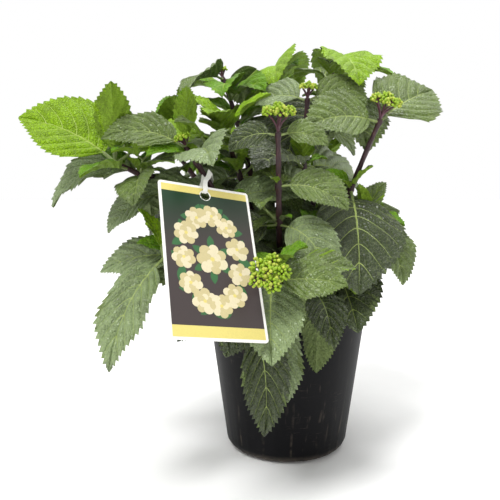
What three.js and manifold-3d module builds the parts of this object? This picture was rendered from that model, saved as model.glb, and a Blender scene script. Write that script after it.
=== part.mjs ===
// A hydrangea shrub in a black nursery pot, with its plant label, in millimetres and +Z up.
// The origin is the middle of the pot's flat underside, and -Y is the front, where the label hangs.
// Dark canes rise from the potting mix. Each ends in a mass of opposite leaves, set crosswise pair by pair,
// and some carry a head of green flower buds.
import * as THREE from 'three';
import { mergeVertices } from 'three/addons/utils/BufferGeometryUtils.js';
import Module from 'manifold-3d';

const wasm = await Module();
wasm.setup();
const { Manifold, Mesh: SolidMesh } = wasm;

const UP = new THREE.Vector3(0, 0, 1);
const DEGREE = Math.PI / 180;
const GAP = 0.3; // clearance between pieces that touch

// The pot and what fills it.
const POT = { height: 190, rim: 102, wall: 2, foot: 59.5, roundRadius: 16, bodyTop: 97.5 };
const LIP = { height: 16, step: 8 };
const SOIL = { top: 170, edgeDrop: 4, flatRadius: 62 };
const POT_SIDES = 32;

// Canes, leaves and bud heads.
const CANE = { footRadius: 4.8, tipRadius: 3, sides: 6, rings: 3, stemRings: 7 };
const PETIOLE = { share: 0.14, extra: 3, halfWidth: 2, halfDepth: 1.6 };
const LEAF = { stations: [0, 0.16, 0.42, 0.72, 1], halfDepth: 1.15, tip: 0.9, fold: 15 * DEGREE };
const SMALL_STATIONS = [0, 0.4, 1];
const BUD_HEAD = { spread: 11.5, lump: 5.8, stalk: 24, rise: 0.84, outer: 5 };
const TWIG = { length: 22, radius: 1.5, chance: 0.3, turn: 28, lift: 46 };
const TWIG_LEAF = { length: 38, spread: 62, lift: 38, breadth: 0.86 };
const YOUNG = { breadth: 0.7, lift: 68, hang: 46 };

// Shares of a cane: where its top pair and its young leaves start, and how far under its lowest pair its bough
// ends.
const NODES = { top: 0.985, young: 0.995, boughDrop: 0.06 };

// The pairs under the top one: the size of the second pair as a share of leaf, and how much each next one
// shrinks (a share) and sinks (degrees). On the side a cane leans to, leaves rise by up to leanLift more.
const LOWER_PAIRS = { size: 1, shrink: 0.05, sink: 4 };
const LEAN_LIFT = 14;

// How far single leaves stray from their rule, in degrees and in shares of their length and breadth.
const STRAY = { heading: 9, lift: 7, hang: 12, twist: 12, length: 0.07, wide: 0.08 };
const TWIG_STRAY = { twig: 0.25, heading: 15, lift: 12, twist: 20, length: 0.2 };

// Leaves tilt their upper faces away from the crown's middle, and so out to the light.
const FACING = { middle: 90, sidewise: 0.5, roll: 50 };

// Each leaf keeps a skin of clear space. One that would touch something is lifted, turned or made smaller, in
// this order (degrees, degrees, shares of its size), and is left out if nothing is clear.
const SKIN = 2.5;
const LIFTS = [0, 12, -12, 24, -24, -38];
const TURNS = [0, 14, -14, 28, -28];
const SIZES = [1, 0.86, 0.72];
const KEEP_OFF = { floor: 6, pot: 4 };

// The label: a card on a strap, which loops round one cane and passes through the card's hole.
const CARD = { width: 94, height: 156, thick: 1, corner: 3, holeDown: 10, holeRadius: 5.4 };
const CARD_POSE = { centre: [-80.5, -214.5, 261.5], yaw: 32.5, pitch: 31.8, roll: 10.4 };
const STRAP = { halfWidth: 3.2, neck: 2.2, thick: 0.9, slack: 0.3, seatDrop: 1, bow: 14, samples: 60 };
const STRAP_CANE = { name: 'left_mid', share: 0.8 };

// One entry for each shoot. foot is where its cane leaves the mix and tip is where its top pair of leaves
// stands. bend places the cane's bend, out and up, as shares of the way to the tip. Leaf pairs stand from the
// tip down: drop is the bare share of the cane under the top pair and low the share where the lowest pair
// stands. turn is the compass turn of the top pair, top its size as a share of leaf, the full leaf length, and
// wide the breadth as a share of the length. lift is how far leaves rise at the stalk, hang how far they curl
// down to the tip, and fade how much lower the pairs under the top one start. buds is the size of its bud head,
// and young the size of the small leaves that unfold at its tip, as a share of leaf. lost lists leaves that are
// gone and own leaves that stand otherwise, counted from the top, two to a pair: own adds degrees to turn, lift,
// hang and twist, and multiplies the length and breadth.
const SHOOTS = [
  {
    name: 'right_tall', foot: [34, -14], tip: [100, -62, 400], bend: [0.3, 0.5],
    pairs: 4, drop: 0.33, low: 0.3, turn: 10, leaf: 106, top: 0.76, wide: 0.86,
    lift: 16, hang: 38, fade: 36, buds: 1,
    own: {
      0: { turn: 4, lift: 40, hang: -26, twist: -8, long: 1.12, wide: 1.1 },
      1: { long: 0.92 },
      3: { turn: -10, lift: -14, hang: 6, long: 1.16, wide: 1.08 },
    },
  },
  {
    name: 'front_centre', foot: [-8, -28], tip: [-17, -120, 382], bend: [0.75, 0.5],
    pairs: 4, drop: 0.25, low: 0.34, turn: 172, leaf: 90, top: 0.55, wide: 0.72,
    lift: 14, hang: 66, fade: 14, buds: 1,
    own: { 2: { turn: 84, lift: -4, long: 0.74 } },
  },
  {
    name: 'centre_tall', foot: [14, 6], tip: [20, -40, 426], bend: [0.4, 0.55],
    pairs: 5, drop: 0.32, low: 0.26, turn: 140, leaf: 98, top: 0.66, wide: 0.78,
    lift: 20, hang: 60, fade: 10, buds: 0.6,
  },
  {
    name: 'low_front', foot: [-14, -44], tip: [-28, -216, 240], bend: [0.3, 0.95],
    pairs: 3, drop: 0.2, low: 0.55, turn: -4, leaf: 82, top: 0.84, wide: 0.76,
    lift: 8, hang: 40, fade: 14, buds: 1.05,
    own: { 0: { long: 0.88 } },
  },
  {
    name: 'left_mid', foot: [-26, -22], tip: [-113, -116, 368], bend: [0.35, 0.55],
    pairs: 4, drop: 0.08, low: 0.42, turn: 182, leaf: 92, top: 0.95, wide: 0.6,
    lift: 30, hang: 56, fade: 8, buds: 0.5, young: 0.68, lost: [1],
  },
  {
    name: 'far_left', foot: [-40, -6], tip: [-192, -100, 352], bend: [0.35, 0.75],
    pairs: 3, drop: 0.12, low: 0.72, turn: 180, leaf: 74, top: 1.34, wide: 0.78,
    lift: 24, hang: 46, fade: 30, young: 1.1, lime: true,
    own: { 0: { lift: 1, long: 0.98, wide: 1.12 }, 1: { turn: 10, lift: 18 }, 2: { long: 0.8 } },
  },
  {
    name: 'low_left', foot: [-42, -28], tip: [-138, -118, 252], bend: [0.35, 0.95],
    pairs: 3, drop: 0.2, low: 0.5, turn: 230, leaf: 114, top: 1, wide: 0.46,
    lift: -48, hang: 46, fade: -20, young: 0.5, lost: [1],
    own: { 0: { turn: 10 }, 3: { turn: 30, lift: 40, long: 0.85, wide: 1.2 }, 5: { turn: -40, lift: 25 } },
  },
  {
    name: 'low_front_left', foot: [-34, -40], tip: [-42, -130, 188], bend: [0.5, 3],
    pairs: 2, drop: 0.26, low: 0.7, turn: 276, leaf: 104, top: 1, wide: 0.46,
    lift: -46, hang: 40, fade: -36, lost: [1],
    own: { 3: { long: 0.75 } },
  },
  {
    name: 'low_front_right', foot: [12, -42], tip: [24, -132, 212], bend: [0.45, 1.7],
    pairs: 2, drop: 0.2, low: 0.62, turn: 280, leaf: 82, top: 0.92, wide: 0.56,
    lift: -14, hang: 62, fade: -8, lost: [2],
  },
  {
    name: 'low_right', foot: [46, 4], tip: [86, -52, 284], bend: [0.35, 0.85],
    pairs: 4, drop: 0.18, low: 0.4, turn: -55, leaf: 78, top: 0.95, wide: 0.74,
    lift: -14, hang: 72, fade: -6, young: 0.68,
    own: { 0: { turn: -2, long: 0.96 }, 2: { turn: 40 }, 5: { turn: 40, long: 1.2 } },
  },
  {
    name: 'mid_front', foot: [4, -34], tip: [26, -112, 268], bend: [0.4, 0.8],
    pairs: 4, drop: 0.18, low: 0.36, turn: 210, leaf: 90, top: 0.9, wide: 0.76,
    lift: 8, hang: 66, fade: 10, young: 0.68,
  },
  {
    name: 'young_centre', foot: [-16, 0], tip: [-74, -52, 382], bend: [0.35, 0.55],
    pairs: 4, drop: 0.22, low: 0.36, turn: 70, leaf: 88, top: 0.8, wide: 0.6,
    lift: 34, hang: 60, fade: 14, young: 0.68, lime: true,
  },
  {
    name: 'left_back', foot: [-36, 22], tip: [-148, 24, 376], bend: [0.35, 0.6],
    pairs: 4, drop: 0.22, low: 0.4, turn: 190, leaf: 96, top: 0.9, wide: 0.74,
    lift: 16, hang: 70, fade: 10, young: 0.68,
  },
  {
    name: 'left_bud', foot: [-30, 8], tip: [-158, -74, 338], bend: [0.35, 0.75],
    pairs: 3, drop: 0.2, low: 0.48, turn: 192, leaf: 88, top: 0.9, wide: 0.56,
    lift: 0, hang: 70, fade: 4, buds: 0.45,
    own: { 0: { lift: 5, hang: 8, long: 1.4, wide: 0.8 } },
  },
  {
    name: 'back_left', foot: [-18, 26], tip: [-82, 58, 464], bend: [0.3, 0.6],
    pairs: 4, drop: 0.22, low: 0.34, turn: 212, leaf: 100, top: 0.85, wide: 0.74,
    lift: 8, hang: 68, fade: 20, buds: 0.45,
    own: { 0: { turn: 20, lift: -4 } },
  },
  {
    name: 'back_right', foot: [24, 26], tip: [62, 44, 487], bend: [0.3, 0.6],
    pairs: 4, drop: 0.2, low: 0.32, turn: -88, leaf: 106, top: 0.95, wide: 0.86,
    lift: -6, hang: 66, fade: 2, lime: true,
    own: { 0: { turn: -12, long: 0.92 }, 2: { turn: -62, lift: -6 }, 4: { turn: -60 } },
  },
  {
    name: 'back_centre', foot: [2, 34], tip: [-12, 104, 480], bend: [0.3, 0.62],
    pairs: 4, drop: 0.22, low: 0.34, turn: 248, leaf: 102, top: 0.85, wide: 0.76,
    lift: 8, hang: 68, fade: 16,
  },
  {
    name: 'right_back', foot: [42, 28], tip: [98, 92, 296], bend: [0.32, 0.7],
    pairs: 4, drop: 0.22, low: 0.38, turn: 40, leaf: 98, top: 0.85, wide: 0.76,
    lift: 6, hang: 72, fade: 2,
    own: { 3: { turn: 30, long: 0.85 }, 6: { long: 0.85 } },
  },
  {
    name: 'low_back', foot: [14, 48], tip: [48, 168, 328], bend: [0.32, 0.8],
    pairs: 4, drop: 0.2, low: 0.4, turn: 55, leaf: 100, top: 0.95, wide: 0.76,
    lift: 12, hang: 74, fade: 6, young: 0.68,
  },
  {
    name: 'low_back_left', foot: [-28, 40], tip: [-116, 134, 316], bend: [0.32, 0.8],
    pairs: 4, drop: 0.2, low: 0.4, turn: 85, leaf: 100, top: 0.95, wide: 0.74,
    lift: 12, hang: 74, fade: 6, young: 0.68,
  },
];

const material = (color, roughness) => new THREE.MeshStandardMaterial({ color, roughness, metalness: 0 });
const PLASTIC = material(0x1b1b20, 0.45);
const MIX = material(0x2e2218, 0.95);
const BARK = material(0x43242a, 0.6);
const LEAVES = material(0x53693f, 0.5);
const LIME_LEAVES = material(0x7da01c, 0.5);
const CARD_STOCK = material(0xf2e9cf, 0.4);
const STRAP_PLASTIC = material(0xf4f3ef, 0.5);

// A closed geometry as a manifold solid, and a solid as a named mesh.
function solidOf(geometry) {
  const shape = geometry.clone();
  for (const name of ['normal', 'uv']) shape.deleteAttribute(name);
  const merged = mergeVertices(shape, 1e-4);
  const vertProperties = merged.attributes.position.array;
  const triVerts = new Uint32Array(merged.index.array);
  return new Manifold(new SolidMesh({ numProp: 3, vertProperties, triVerts }));
}

function meshOf(solid, name, finish) {
  const { vertProperties, triVerts } = solid.getMesh();
  const geometry = new THREE.BufferGeometry();
  geometry.setAttribute('position', new THREE.BufferAttribute(new Float32Array(vertProperties), 3));
  geometry.setIndex(new THREE.BufferAttribute(new Uint32Array(triVerts), 1));
  geometry.computeVertexNormals();
  const mesh = new THREE.Mesh(geometry, finish);
  mesh.name = name;
  return mesh;
}

// A number from 0 to 1 that depends only on a key and a count, so that each leaf keeps its own shape.
function draw(key, count) {
  let x = (Math.imul(key, 0x9e3779b1) ^ Math.imul(count + 1, 0x85ebca6b)) >>> 0;
  x = Math.imul(x ^ (x >>> 15), 0x2c1b3c6d) >>> 0;
  x = Math.imul(x ^ (x >>> 12), 0x297a2d39) >>> 0;
  return ((x ^ (x >>> 15)) >>> 0) / 4294967296;
}

const sway = (key, count, range) => (draw(key, count) * 2 - 1) * range;

// A point moved along a ring's two directions.
function offset({ at, across, up }, sideways, upwards) {
  return at.clone().addScaledVector(across, sideways).addScaledVector(up, upwards);
}

// A closed solid with one ring of points at each station, from a cylinder whose rings are moved and widened.
function sweep(rings, sides) {
  const length = rings.length - 1;
  const geometry = new THREE.CylinderGeometry(1, 1, length, sides, length);
  const position = geometry.attributes.position;
  for (let i = 0; i < position.count; i++) {
    const ring = rings[Math.round(position.getY(i) + length / 2)];
    const [x, z] = [position.getX(i), position.getZ(i)];
    const point = offset(ring, x * ring.halfWidth, z * ring.halfDepth + Math.abs(x) * (ring.fold ?? 0));
    position.setXYZ(i, point.x, point.y, point.z);
  }
  return solidOf(geometry);
}

// A ring's directions from the way along it: one level, one at right angles to both.
function ringAcross(at, along) {
  const across = new THREE.Vector3(1, 0, 0).addScaledVector(along, -along.x).normalize();
  return { at, along, across, up: across.clone().cross(along) };
}

// A cane's line is one bend from its foot to its tip.
function caneLine(shoot) {
  const foot = new THREE.Vector3(...shoot.foot, SOIL.top + GAP);
  const tip = new THREE.Vector3(...shoot.tip);
  const [out, rise] = shoot.bend;
  const bend = new THREE.Vector3(foot.x + (tip.x - foot.x) * out, foot.y + (tip.y - foot.y) * out,
    foot.z + (tip.z - foot.z) * rise);
  return { foot, bend, tip };
}

function pointOn({ foot, bend, tip }, t) {
  const point = foot.clone().multiplyScalar((1 - t) ** 2);
  return point.addScaledVector(bend, 2 * t * (1 - t)).addScaledVector(tip, t * t);
}

function frameOn(line, t) {
  const { foot, bend, tip } = line;
  const along = bend.clone().sub(foot).multiplyScalar(1 - t).addScaledVector(tip.clone().sub(bend), t);
  return ringAcross(pointOn(line, t), along.normalize());
}

const caneRadius = (t) => CANE.footRadius + (CANE.tipRadius - CANE.footRadius) * t;

function caneRings(line, from, to, count) {
  return Array.from({ length: count }, (_, i) => {
    const t = from + ((to - from) * i) / (count - 1);
    const ring = t === 0 ? ringAcross(line.foot.clone(), UP) : frameOn(line, t);
    return { ...ring, halfWidth: caneRadius(t), halfDepth: caneRadius(t) };
  });
}

function rodRings(from, to, radiusFrom, radiusTo) {
  const along = to.clone().sub(from).normalize();
  return [
    { ...ringAcross(from, along), halfWidth: radiusFrom, halfDepth: radiusFrom },
    { ...ringAcross(to, along), halfWidth: radiusTo, halfDepth: radiusTo },
  ];
}

// A leaf's midrib is an arc in an upright plane, from its heading, its lift at the stalk and its hang to the
// tip.
const halfBreadth = (leaf, t) => (t ** 0.6 * (1 - t) ** 0.85 * leaf.length * leaf.wide) / 0.748;

function leafFrame(leaf, t) {
  const slope = leaf.lift - leaf.hang * t;
  const reach = ((Math.sin(leaf.lift) - Math.sin(slope)) / leaf.hang) * leaf.length;
  const climb = ((Math.cos(slope) - Math.cos(leaf.lift)) / leaf.hang) * leaf.length;
  const [ahead, aside] = [Math.cos(leaf.heading), Math.sin(leaf.heading)];
  const at = new THREE.Vector3(leaf.base.x + ahead * reach, leaf.base.y + aside * reach, leaf.base.z + climb);
  const along = new THREE.Vector3(ahead * Math.cos(slope), aside * Math.cos(slope), Math.sin(slope));
  const side = new THREE.Vector3(aside, -ahead, 0);
  const across = side.clone().multiplyScalar(Math.cos(leaf.roll))
    .addScaledVector(side.clone().cross(along), -Math.sin(leaf.roll));
  return { at, along, across, up: across.clone().cross(along) };
}

function leafSolid(leaf) {
  const first = leafFrame(leaf, 0);
  const rings = [{ ...first, at: leaf.root, halfWidth: PETIOLE.halfWidth, halfDepth: PETIOLE.halfDepth }];
  const stations = leaf.small ? SMALL_STATIONS : LEAF.stations;
  for (const t of stations) {
    const half = halfBreadth(leaf, t);
    const halfWidth = Math.max(half * Math.cos(LEAF.fold), t === 0 ? PETIOLE.halfWidth : LEAF.tip);
    const halfDepth = { 0: PETIOLE.halfDepth, 1: LEAF.tip }[t] ?? LEAF.halfDepth;
    rings.push({ ...leafFrame(leaf, t), halfWidth, halfDepth, fold: half * Math.sin(LEAF.fold) });
  }
  return sweep(rings, 4);
}

// Test bodies are lists of triangles. A leaf that is tried is its bare surface and a line for its stalk, and a
// leaf that stands is the closed skin round it.
function trianglesOf(rows) {
  const triangles = [];
  for (let i = 0; i + 1 < rows.length; i++) {
    for (let j = 0; j + 1 < rows[i].length; j++) {
      triangles.push(rows[i][j], rows[i + 1][j], rows[i + 1][j + 1]);
      triangles.push(rows[i][j], rows[i + 1][j + 1], rows[i][j + 1]);
    }
  }
  return triangles;
}

function leafRow(leaf, t, aside, above) {
  const frame = leafFrame(leaf, t);
  const half = halfBreadth(leaf, t) + aside;
  return [-1, 0, 1].map((side) => offset(frame, side * half * Math.cos(LEAF.fold),
    Math.abs(side) * half * Math.sin(LEAF.fold) + above));
}

const stalkFrom = (leaf) => leaf.root.clone().lerp(leaf.base, 0.5);

function bareLeaf(leaf) {
  const start = stalkFrom(leaf);
  return trianglesOf([[start, start, start], ...LEAF.stations.map((t) => leafRow(leaf, t, 0, 0))]);
}

function leafSkin(leaf) {
  const rows = LEAF.stations.map((t) => {
    const top = leafRow(leaf, t, 1, SKIN);
    return [...top, ...leafRow(leaf, t, 1, -SKIN).reverse(), top[0]];
  });
  const stalk = rows[0].map((point) => point.clone().sub(leaf.base).add(stalkFrom(leaf)));
  return trianglesOf([stalk, ...rows]);
}

function roundSkin(rings, sides, margin) {
  return trianglesOf(rings.map((ring) => Array.from({ length: sides + 1 }, (_, i) => {
    const angle = (i / sides) * Math.PI * 2;
    const [sideways, upwards] = [ring.halfWidth + margin, ring.halfDepth + margin];
    return offset(ring, Math.cos(angle) * sideways, Math.sin(angle) * upwards);
  })));
}

function bodyOf(triangles, owner, limb = false) {
  const data = Float64Array.from(triangles.flatMap((point) => [point.x, point.y, point.z]));
  const low = [Infinity, Infinity, Infinity];
  const high = [-Infinity, -Infinity, -Infinity];
  data.forEach((value, i) => {
    low[i % 3] = Math.min(low[i % 3], value);
    high[i % 3] = Math.max(high[i % 3], value);
  });
  return { data, low, high, owner, limb };
}

// True if the segment from p to q of one body passes through the triangle at k of another.
function pierces(one, p, q, other, k) {
  const ax = other[k];
  const ay = other[k + 1];
  const az = other[k + 2];
  const ux = other[k + 3] - ax;
  const uy = other[k + 4] - ay;
  const uz = other[k + 5] - az;
  const vx = other[k + 6] - ax;
  const vy = other[k + 7] - ay;
  const vz = other[k + 8] - az;
  const dx = one[q] - one[p];
  const dy = one[q + 1] - one[p + 1];
  const dz = one[q + 2] - one[p + 2];
  const hx = dy * vz - dz * vy;
  const hy = dz * vx - dx * vz;
  const hz = dx * vy - dy * vx;
  const scale = ux * hx + uy * hy + uz * hz;
  if (Math.abs(scale) < 1e-9) return false;
  const sx = one[p] - ax;
  const sy = one[p + 1] - ay;
  const sz = one[p + 2] - az;
  const b = (sx * hx + sy * hy + sz * hz) / scale;
  if (b < 0 || b > 1) return false;
  const cx = sy * uz - sz * uy;
  const cy = sz * ux - sx * uz;
  const cz = sx * uy - sy * ux;
  const c = (dx * cx + dy * cy + dz * cz) / scale;
  if (c < 0 || b + c > 1) return false;
  const way = (vx * cx + vy * cy + vz * cz) / scale;
  return way >= 0 && way <= 1;
}

function crosses(a, b) {
  const isApart = (axis) => a.low[axis] > b.high[axis] || b.low[axis] > a.high[axis];
  if ([0, 1, 2].some(isApart)) return false;
  for (const [one, other] of [[a.data, b.data], [b.data, a.data]]) {
    for (let i = 0; i < one.length; i += 3) {
      const next = i % 9 === 6 ? i - 6 : i + 3;
      for (let k = 0; k < other.length; k += 9) {
        if (pierces(one, i, next, other, k)) return true;
      }
    }
  }
  return false;
}

// A leaf stays above the floor, and outside the pot's rim wherever it is lower than the rim.
function meetsPot({ data }) {
  for (let i = 0; i < data.length; i += 3) {
    if (data[i + 2] < KEEP_OFF.floor) return true;
    const reach = Math.hypot(data[i], data[i + 1]);
    if (data[i + 2] < POT.height + KEEP_OFF.pot && reach < POT.rim + KEEP_OFF.pot) return true;
  }
  return false;
}

const standing = [];
const isOwnLimb = (other, body) => other.limb && other.owner === body.owner;
const isClear = (body) => !standing.some((other) => !isOwnLimb(other, body) && crosses(body, other));

// The leaf that is wanted, as it starts from a node of its cane.
function leafFrom(frame, turn, length, shoot, key, lift) {
  const heading = (turn + sway(key, 0, STRAY.heading)) * DEGREE;
  const lean = frame.along.x * Math.cos(heading) + frame.along.y * Math.sin(heading);
  return {
    root: frame.at,
    heading,
    lift: (lift + lean * LEAN_LIFT + sway(key, 1, STRAY.lift)) * DEGREE,
    hang: (shoot.hang + sway(key, 2, STRAY.hang)) * DEGREE,
    twist: sway(key, 3, STRAY.twist),
    length: length * (1 + sway(key, 4, STRAY.length)),
    wide: shoot.wide * (1 + sway(key, 5, STRAY.wide)),
    key,
  };
}

// The leaf with its shift made, its blade's base found and its face tilted out to the light.
function settled(leaf, lift, turn, size) {
  const moved = { ...leaf, lift: leaf.lift + lift * DEGREE, heading: leaf.heading + turn * DEGREE };
  moved.length = leaf.length * size;
  const stalk = moved.length * PETIOLE.share + PETIOLE.extra;
  const level = Math.cos(moved.lift) * stalk;
  const [ahead, aside] = [Math.cos(moved.heading), Math.sin(moved.heading)];
  const way = new THREE.Vector3(ahead * level, aside * level, Math.sin(moved.lift) * stalk);
  moved.base = leaf.root.clone().add(way);
  const [outX, outY] = [moved.base.x * FACING.sidewise, moved.base.y - FACING.middle];
  const tilt = (outX * aside - outY * ahead) / Math.hypot(outX, outY);
  moved.roll = (FACING.roll * tilt * (leaf.small ? 0.5 : 1) + leaf.twist) * DEGREE;
  return moved;
}

function place(leaf, owner) {
  for (const size of SIZES) {
    for (const lift of LIFTS) {
      for (const turn of TURNS) {
        const moved = settled(leaf, lift, turn, size);
        const body = bodyOf(bareLeaf(moved), owner);
        if (meetsPot(body) || !isClear(body)) continue;
        standing.push(bodyOf(leafSkin(moved), owner));
        return moved;
      }
    }
  }
  return null;
}

// The shares of a cane where its pairs of leaves stand, from the tip down.
function nodesOf({ pairs, drop, low }) {
  const second = NODES.top - drop;
  return Array.from({ length: pairs }, (_, pair) => (
    pair === 0 ? NODES.top : second - (second - low) * ((pair - 1) / Math.max(1, pairs - 2))));
}

const boughEnd = (shoot) => nodesOf(shoot).at(-1) - NODES.boughDrop;

// A leaf that the table sets apart from its shoot's rule, with what it adds or multiplies.
function setApart(leaf, own) {
  if (!own) return leaf;
  return {
    ...leaf,
    heading: leaf.heading + (own.turn ?? 0) * DEGREE,
    lift: leaf.lift + (own.lift ?? 0) * DEGREE,
    hang: leaf.hang + (own.hang ?? 0) * DEGREE,
    twist: leaf.twist + (own.twist ?? 0),
    length: leaf.length * (own.long ?? 1),
    wide: leaf.wide * (own.wide ?? 1),
  };
}

function leavesOf(shoot, index, line) {
  const wanted = nodesOf(shoot).flatMap((node, pair) => [0, 1].map((side) => {
    const key = index * 1000 + pair * 20 + side * 7;
    const size = pair === 0 ? shoot.top : LOWER_PAIRS.size - LOWER_PAIRS.shrink * (pair - 1);
    const turn = shoot.turn + pair * 90 + side * 180;
    const lift = pair === 0 ? shoot.lift : shoot.lift - shoot.fade - LOWER_PAIRS.sink * (pair - 1);
    const leaf = leafFrom(frameOn(line, node), turn, shoot.leaf * size, shoot, key, lift);
    return setApart(leaf, shoot.own?.[pair * 2 + side]);
  })).filter((_, count) => !shoot.lost?.includes(count));
  if (!shoot.young) return wanted;
  return [...wanted, ...[0, 1].map((side) => {
    const key = index * 1000 + 500 + side * 7;
    const turn = shoot.turn + 90 + side * 180;
    const start = frameOn(line, NODES.young);
    const leaf = leafFrom(start, turn, shoot.leaf * shoot.young, shoot, key, YOUNG.lift);
    return { ...leaf, hang: YOUNG.hang * DEGREE, wide: leaf.wide * YOUNG.breadth, small: true };
  })];
}

// Short twigs start in some of the corners of the lower leaves and carry one small pair.
function twigsOf(shoot, index, line) {
  return nodesOf(shoot).flatMap((node, pair) => [0, 1].map((side) => {
    const key = index * 1000 + 700 + pair * 20 + side * 7;
    const turn = shoot.turn + pair * 90 + side * 180 + TWIG.turn;
    const from = leafFrom(frameOn(line, node), turn, TWIG_LEAF.length, shoot, key, TWIG.lift);
    const long = TWIG.length * (1 + sway(key, 6, TWIG_STRAY.twig));
    const [level, rise] = [Math.cos(from.lift) * long, Math.sin(from.lift) * long];
    const end = from.root.clone()
      .add(new THREE.Vector3(Math.cos(from.heading) * level, Math.sin(from.heading) * level, rise));
    return { ...from, end, grows: pair > 0 && draw(key, 9) < TWIG.chance };
  })).filter((twig) => twig.grows);
}

const twigLeaves = (twig) => [-1, 1].map((side) => ({
  ...twig,
  root: twig.end,
  heading: twig.heading + (side * TWIG_LEAF.spread + sway(twig.key, 10 + side, TWIG_STRAY.heading)) * DEGREE,
  lift: (TWIG_LEAF.lift + sway(twig.key, 12 + side, TWIG_STRAY.lift)) * DEGREE,
  twist: sway(twig.key, 14 + side, TWIG_STRAY.twist),
  length: TWIG_LEAF.length * (1 + sway(twig.key, 16 + side, TWIG_STRAY.length)),
  wide: twig.wide * TWIG_LEAF.breadth,
  small: true,
}));

// A bud head: a low dome of lumps, each on its own stalk from the cane's end.
function budCentres(line, size) {
  const tip = frameOn(line, 1);
  const lean = tip.along.clone().lerp(UP, 0.4).normalize();
  const rise = BUD_HEAD.stalk * BUD_HEAD.rise * size;
  const ring = ringAcross(tip.at.clone().addScaledVector(lean, rise), lean);
  const centres = [tip.at.clone().addScaledVector(lean, BUD_HEAD.stalk * size)];
  for (let i = 0; i < BUD_HEAD.outer; i++) {
    const angle = (i / BUD_HEAD.outer) * Math.PI * 2;
    const spread = BUD_HEAD.spread * size;
    centres.push(offset(ring, Math.cos(angle) * spread, Math.sin(angle) * spread));
  }
  return centres;
}

function budHeadSolids(line, size) {
  const from = pointOn(line, 0.99);
  return budCentres(line, size).flatMap((centre) => [
    sweep(rodRings(from, centre, 1.6, 1.2), 3),
    solidOf(new THREE.IcosahedronGeometry(BUD_HEAD.lump * size, 0).translate(centre.x, centre.y, centre.z)),
  ]);
}

function budHeadSkin(line, size) {
  const middle = pointOn(line, 1).lerp(budCentres(line, size)[0], 0.9);
  const reach = (BUD_HEAD.spread + BUD_HEAD.lump) * size;
  const [under, over] = [-8, 8].map((z) => middle.clone().addScaledVector(UP, z * size));
  return roundSkin(rodRings(under, over, reach, reach), 6, 0);
}

// The card's own frame: x across it, y up it and z out of its face.
const cardPlace = new THREE.Matrix4().makeTranslation(...CARD_POSE.centre)
  .multiply(new THREE.Matrix4().makeRotationZ(CARD_POSE.yaw * DEGREE))
  .multiply(new THREE.Matrix4().makeRotationX((90 - CARD_POSE.pitch) * DEGREE))
  .multiply(new THREE.Matrix4().makeRotationZ(-CARD_POSE.roll * DEGREE));

const onCard = (x, y, z) => new THREE.Vector3(x, y, z).applyMatrix4(cardPlace);

function cardSolid() {
  const { width, height, thick, corner, holeDown, holeRadius } = CARD;
  const [x, y] = [width / 2 - corner, height / 2 - corner];
  const outline = new THREE.Shape();
  outline.absarc(x, -y, corner, -Math.PI / 2, 0).absarc(x, y, corner, 0, Math.PI / 2);
  outline.absarc(-x, y, corner, Math.PI / 2, Math.PI).absarc(-x, -y, corner, Math.PI, Math.PI * 1.5);
  outline.holes.push(new THREE.Path().absarc(0, height / 2 - holeDown, holeRadius, 0, Math.PI * 2, true));
  const shape = new THREE.ExtrudeGeometry(outline, { depth: thick, bevelEnabled: false, curveSegments: 4 });
  return solidOf(shape.translate(0, 0, -thick / 2).applyMatrix4(cardPlace));
}

function cardSkin() {
  const [x, y] = [(CARD.width + 4) / 2, (CARD.height + 4) / 2];
  const sheet = (z) => [-y, y].map((v) => [-x, x].map((u) => onCard(u, v, z)));
  const round = [[-x, -y], [x, -y], [x, y], [-x, y], [-x, -y]];
  const edge = round.map(([u, v]) => [-4, 4].map((z) => onCard(u, v, z)));
  return [sheet(-4), sheet(4), edge].flatMap(trianglesOf);
}

// The strap's middle line bows up on its way from the cane to the card's hole.
function strapRing(line, t) {
  const cane = frameOn(line, STRAP_CANE.share);
  const hole = onCard(0, CARD.height / 2 - CARD.holeDown, 0);
  const at = cane.at.clone().lerp(hole, t).addScaledVector(UP, STRAP.bow * Math.sin(t * Math.PI));
  return ringAcross(at, hole.clone().sub(cane.at).normalize());
}

function strapSkin(line) {
  const rings = [0, 0.25, 0.5, 0.75, 1].map((t) => ({ ...strapRing(line, t), halfWidth: 9, halfDepth: 9 }));
  return roundSkin(rings, 6, 0);
}

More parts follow.
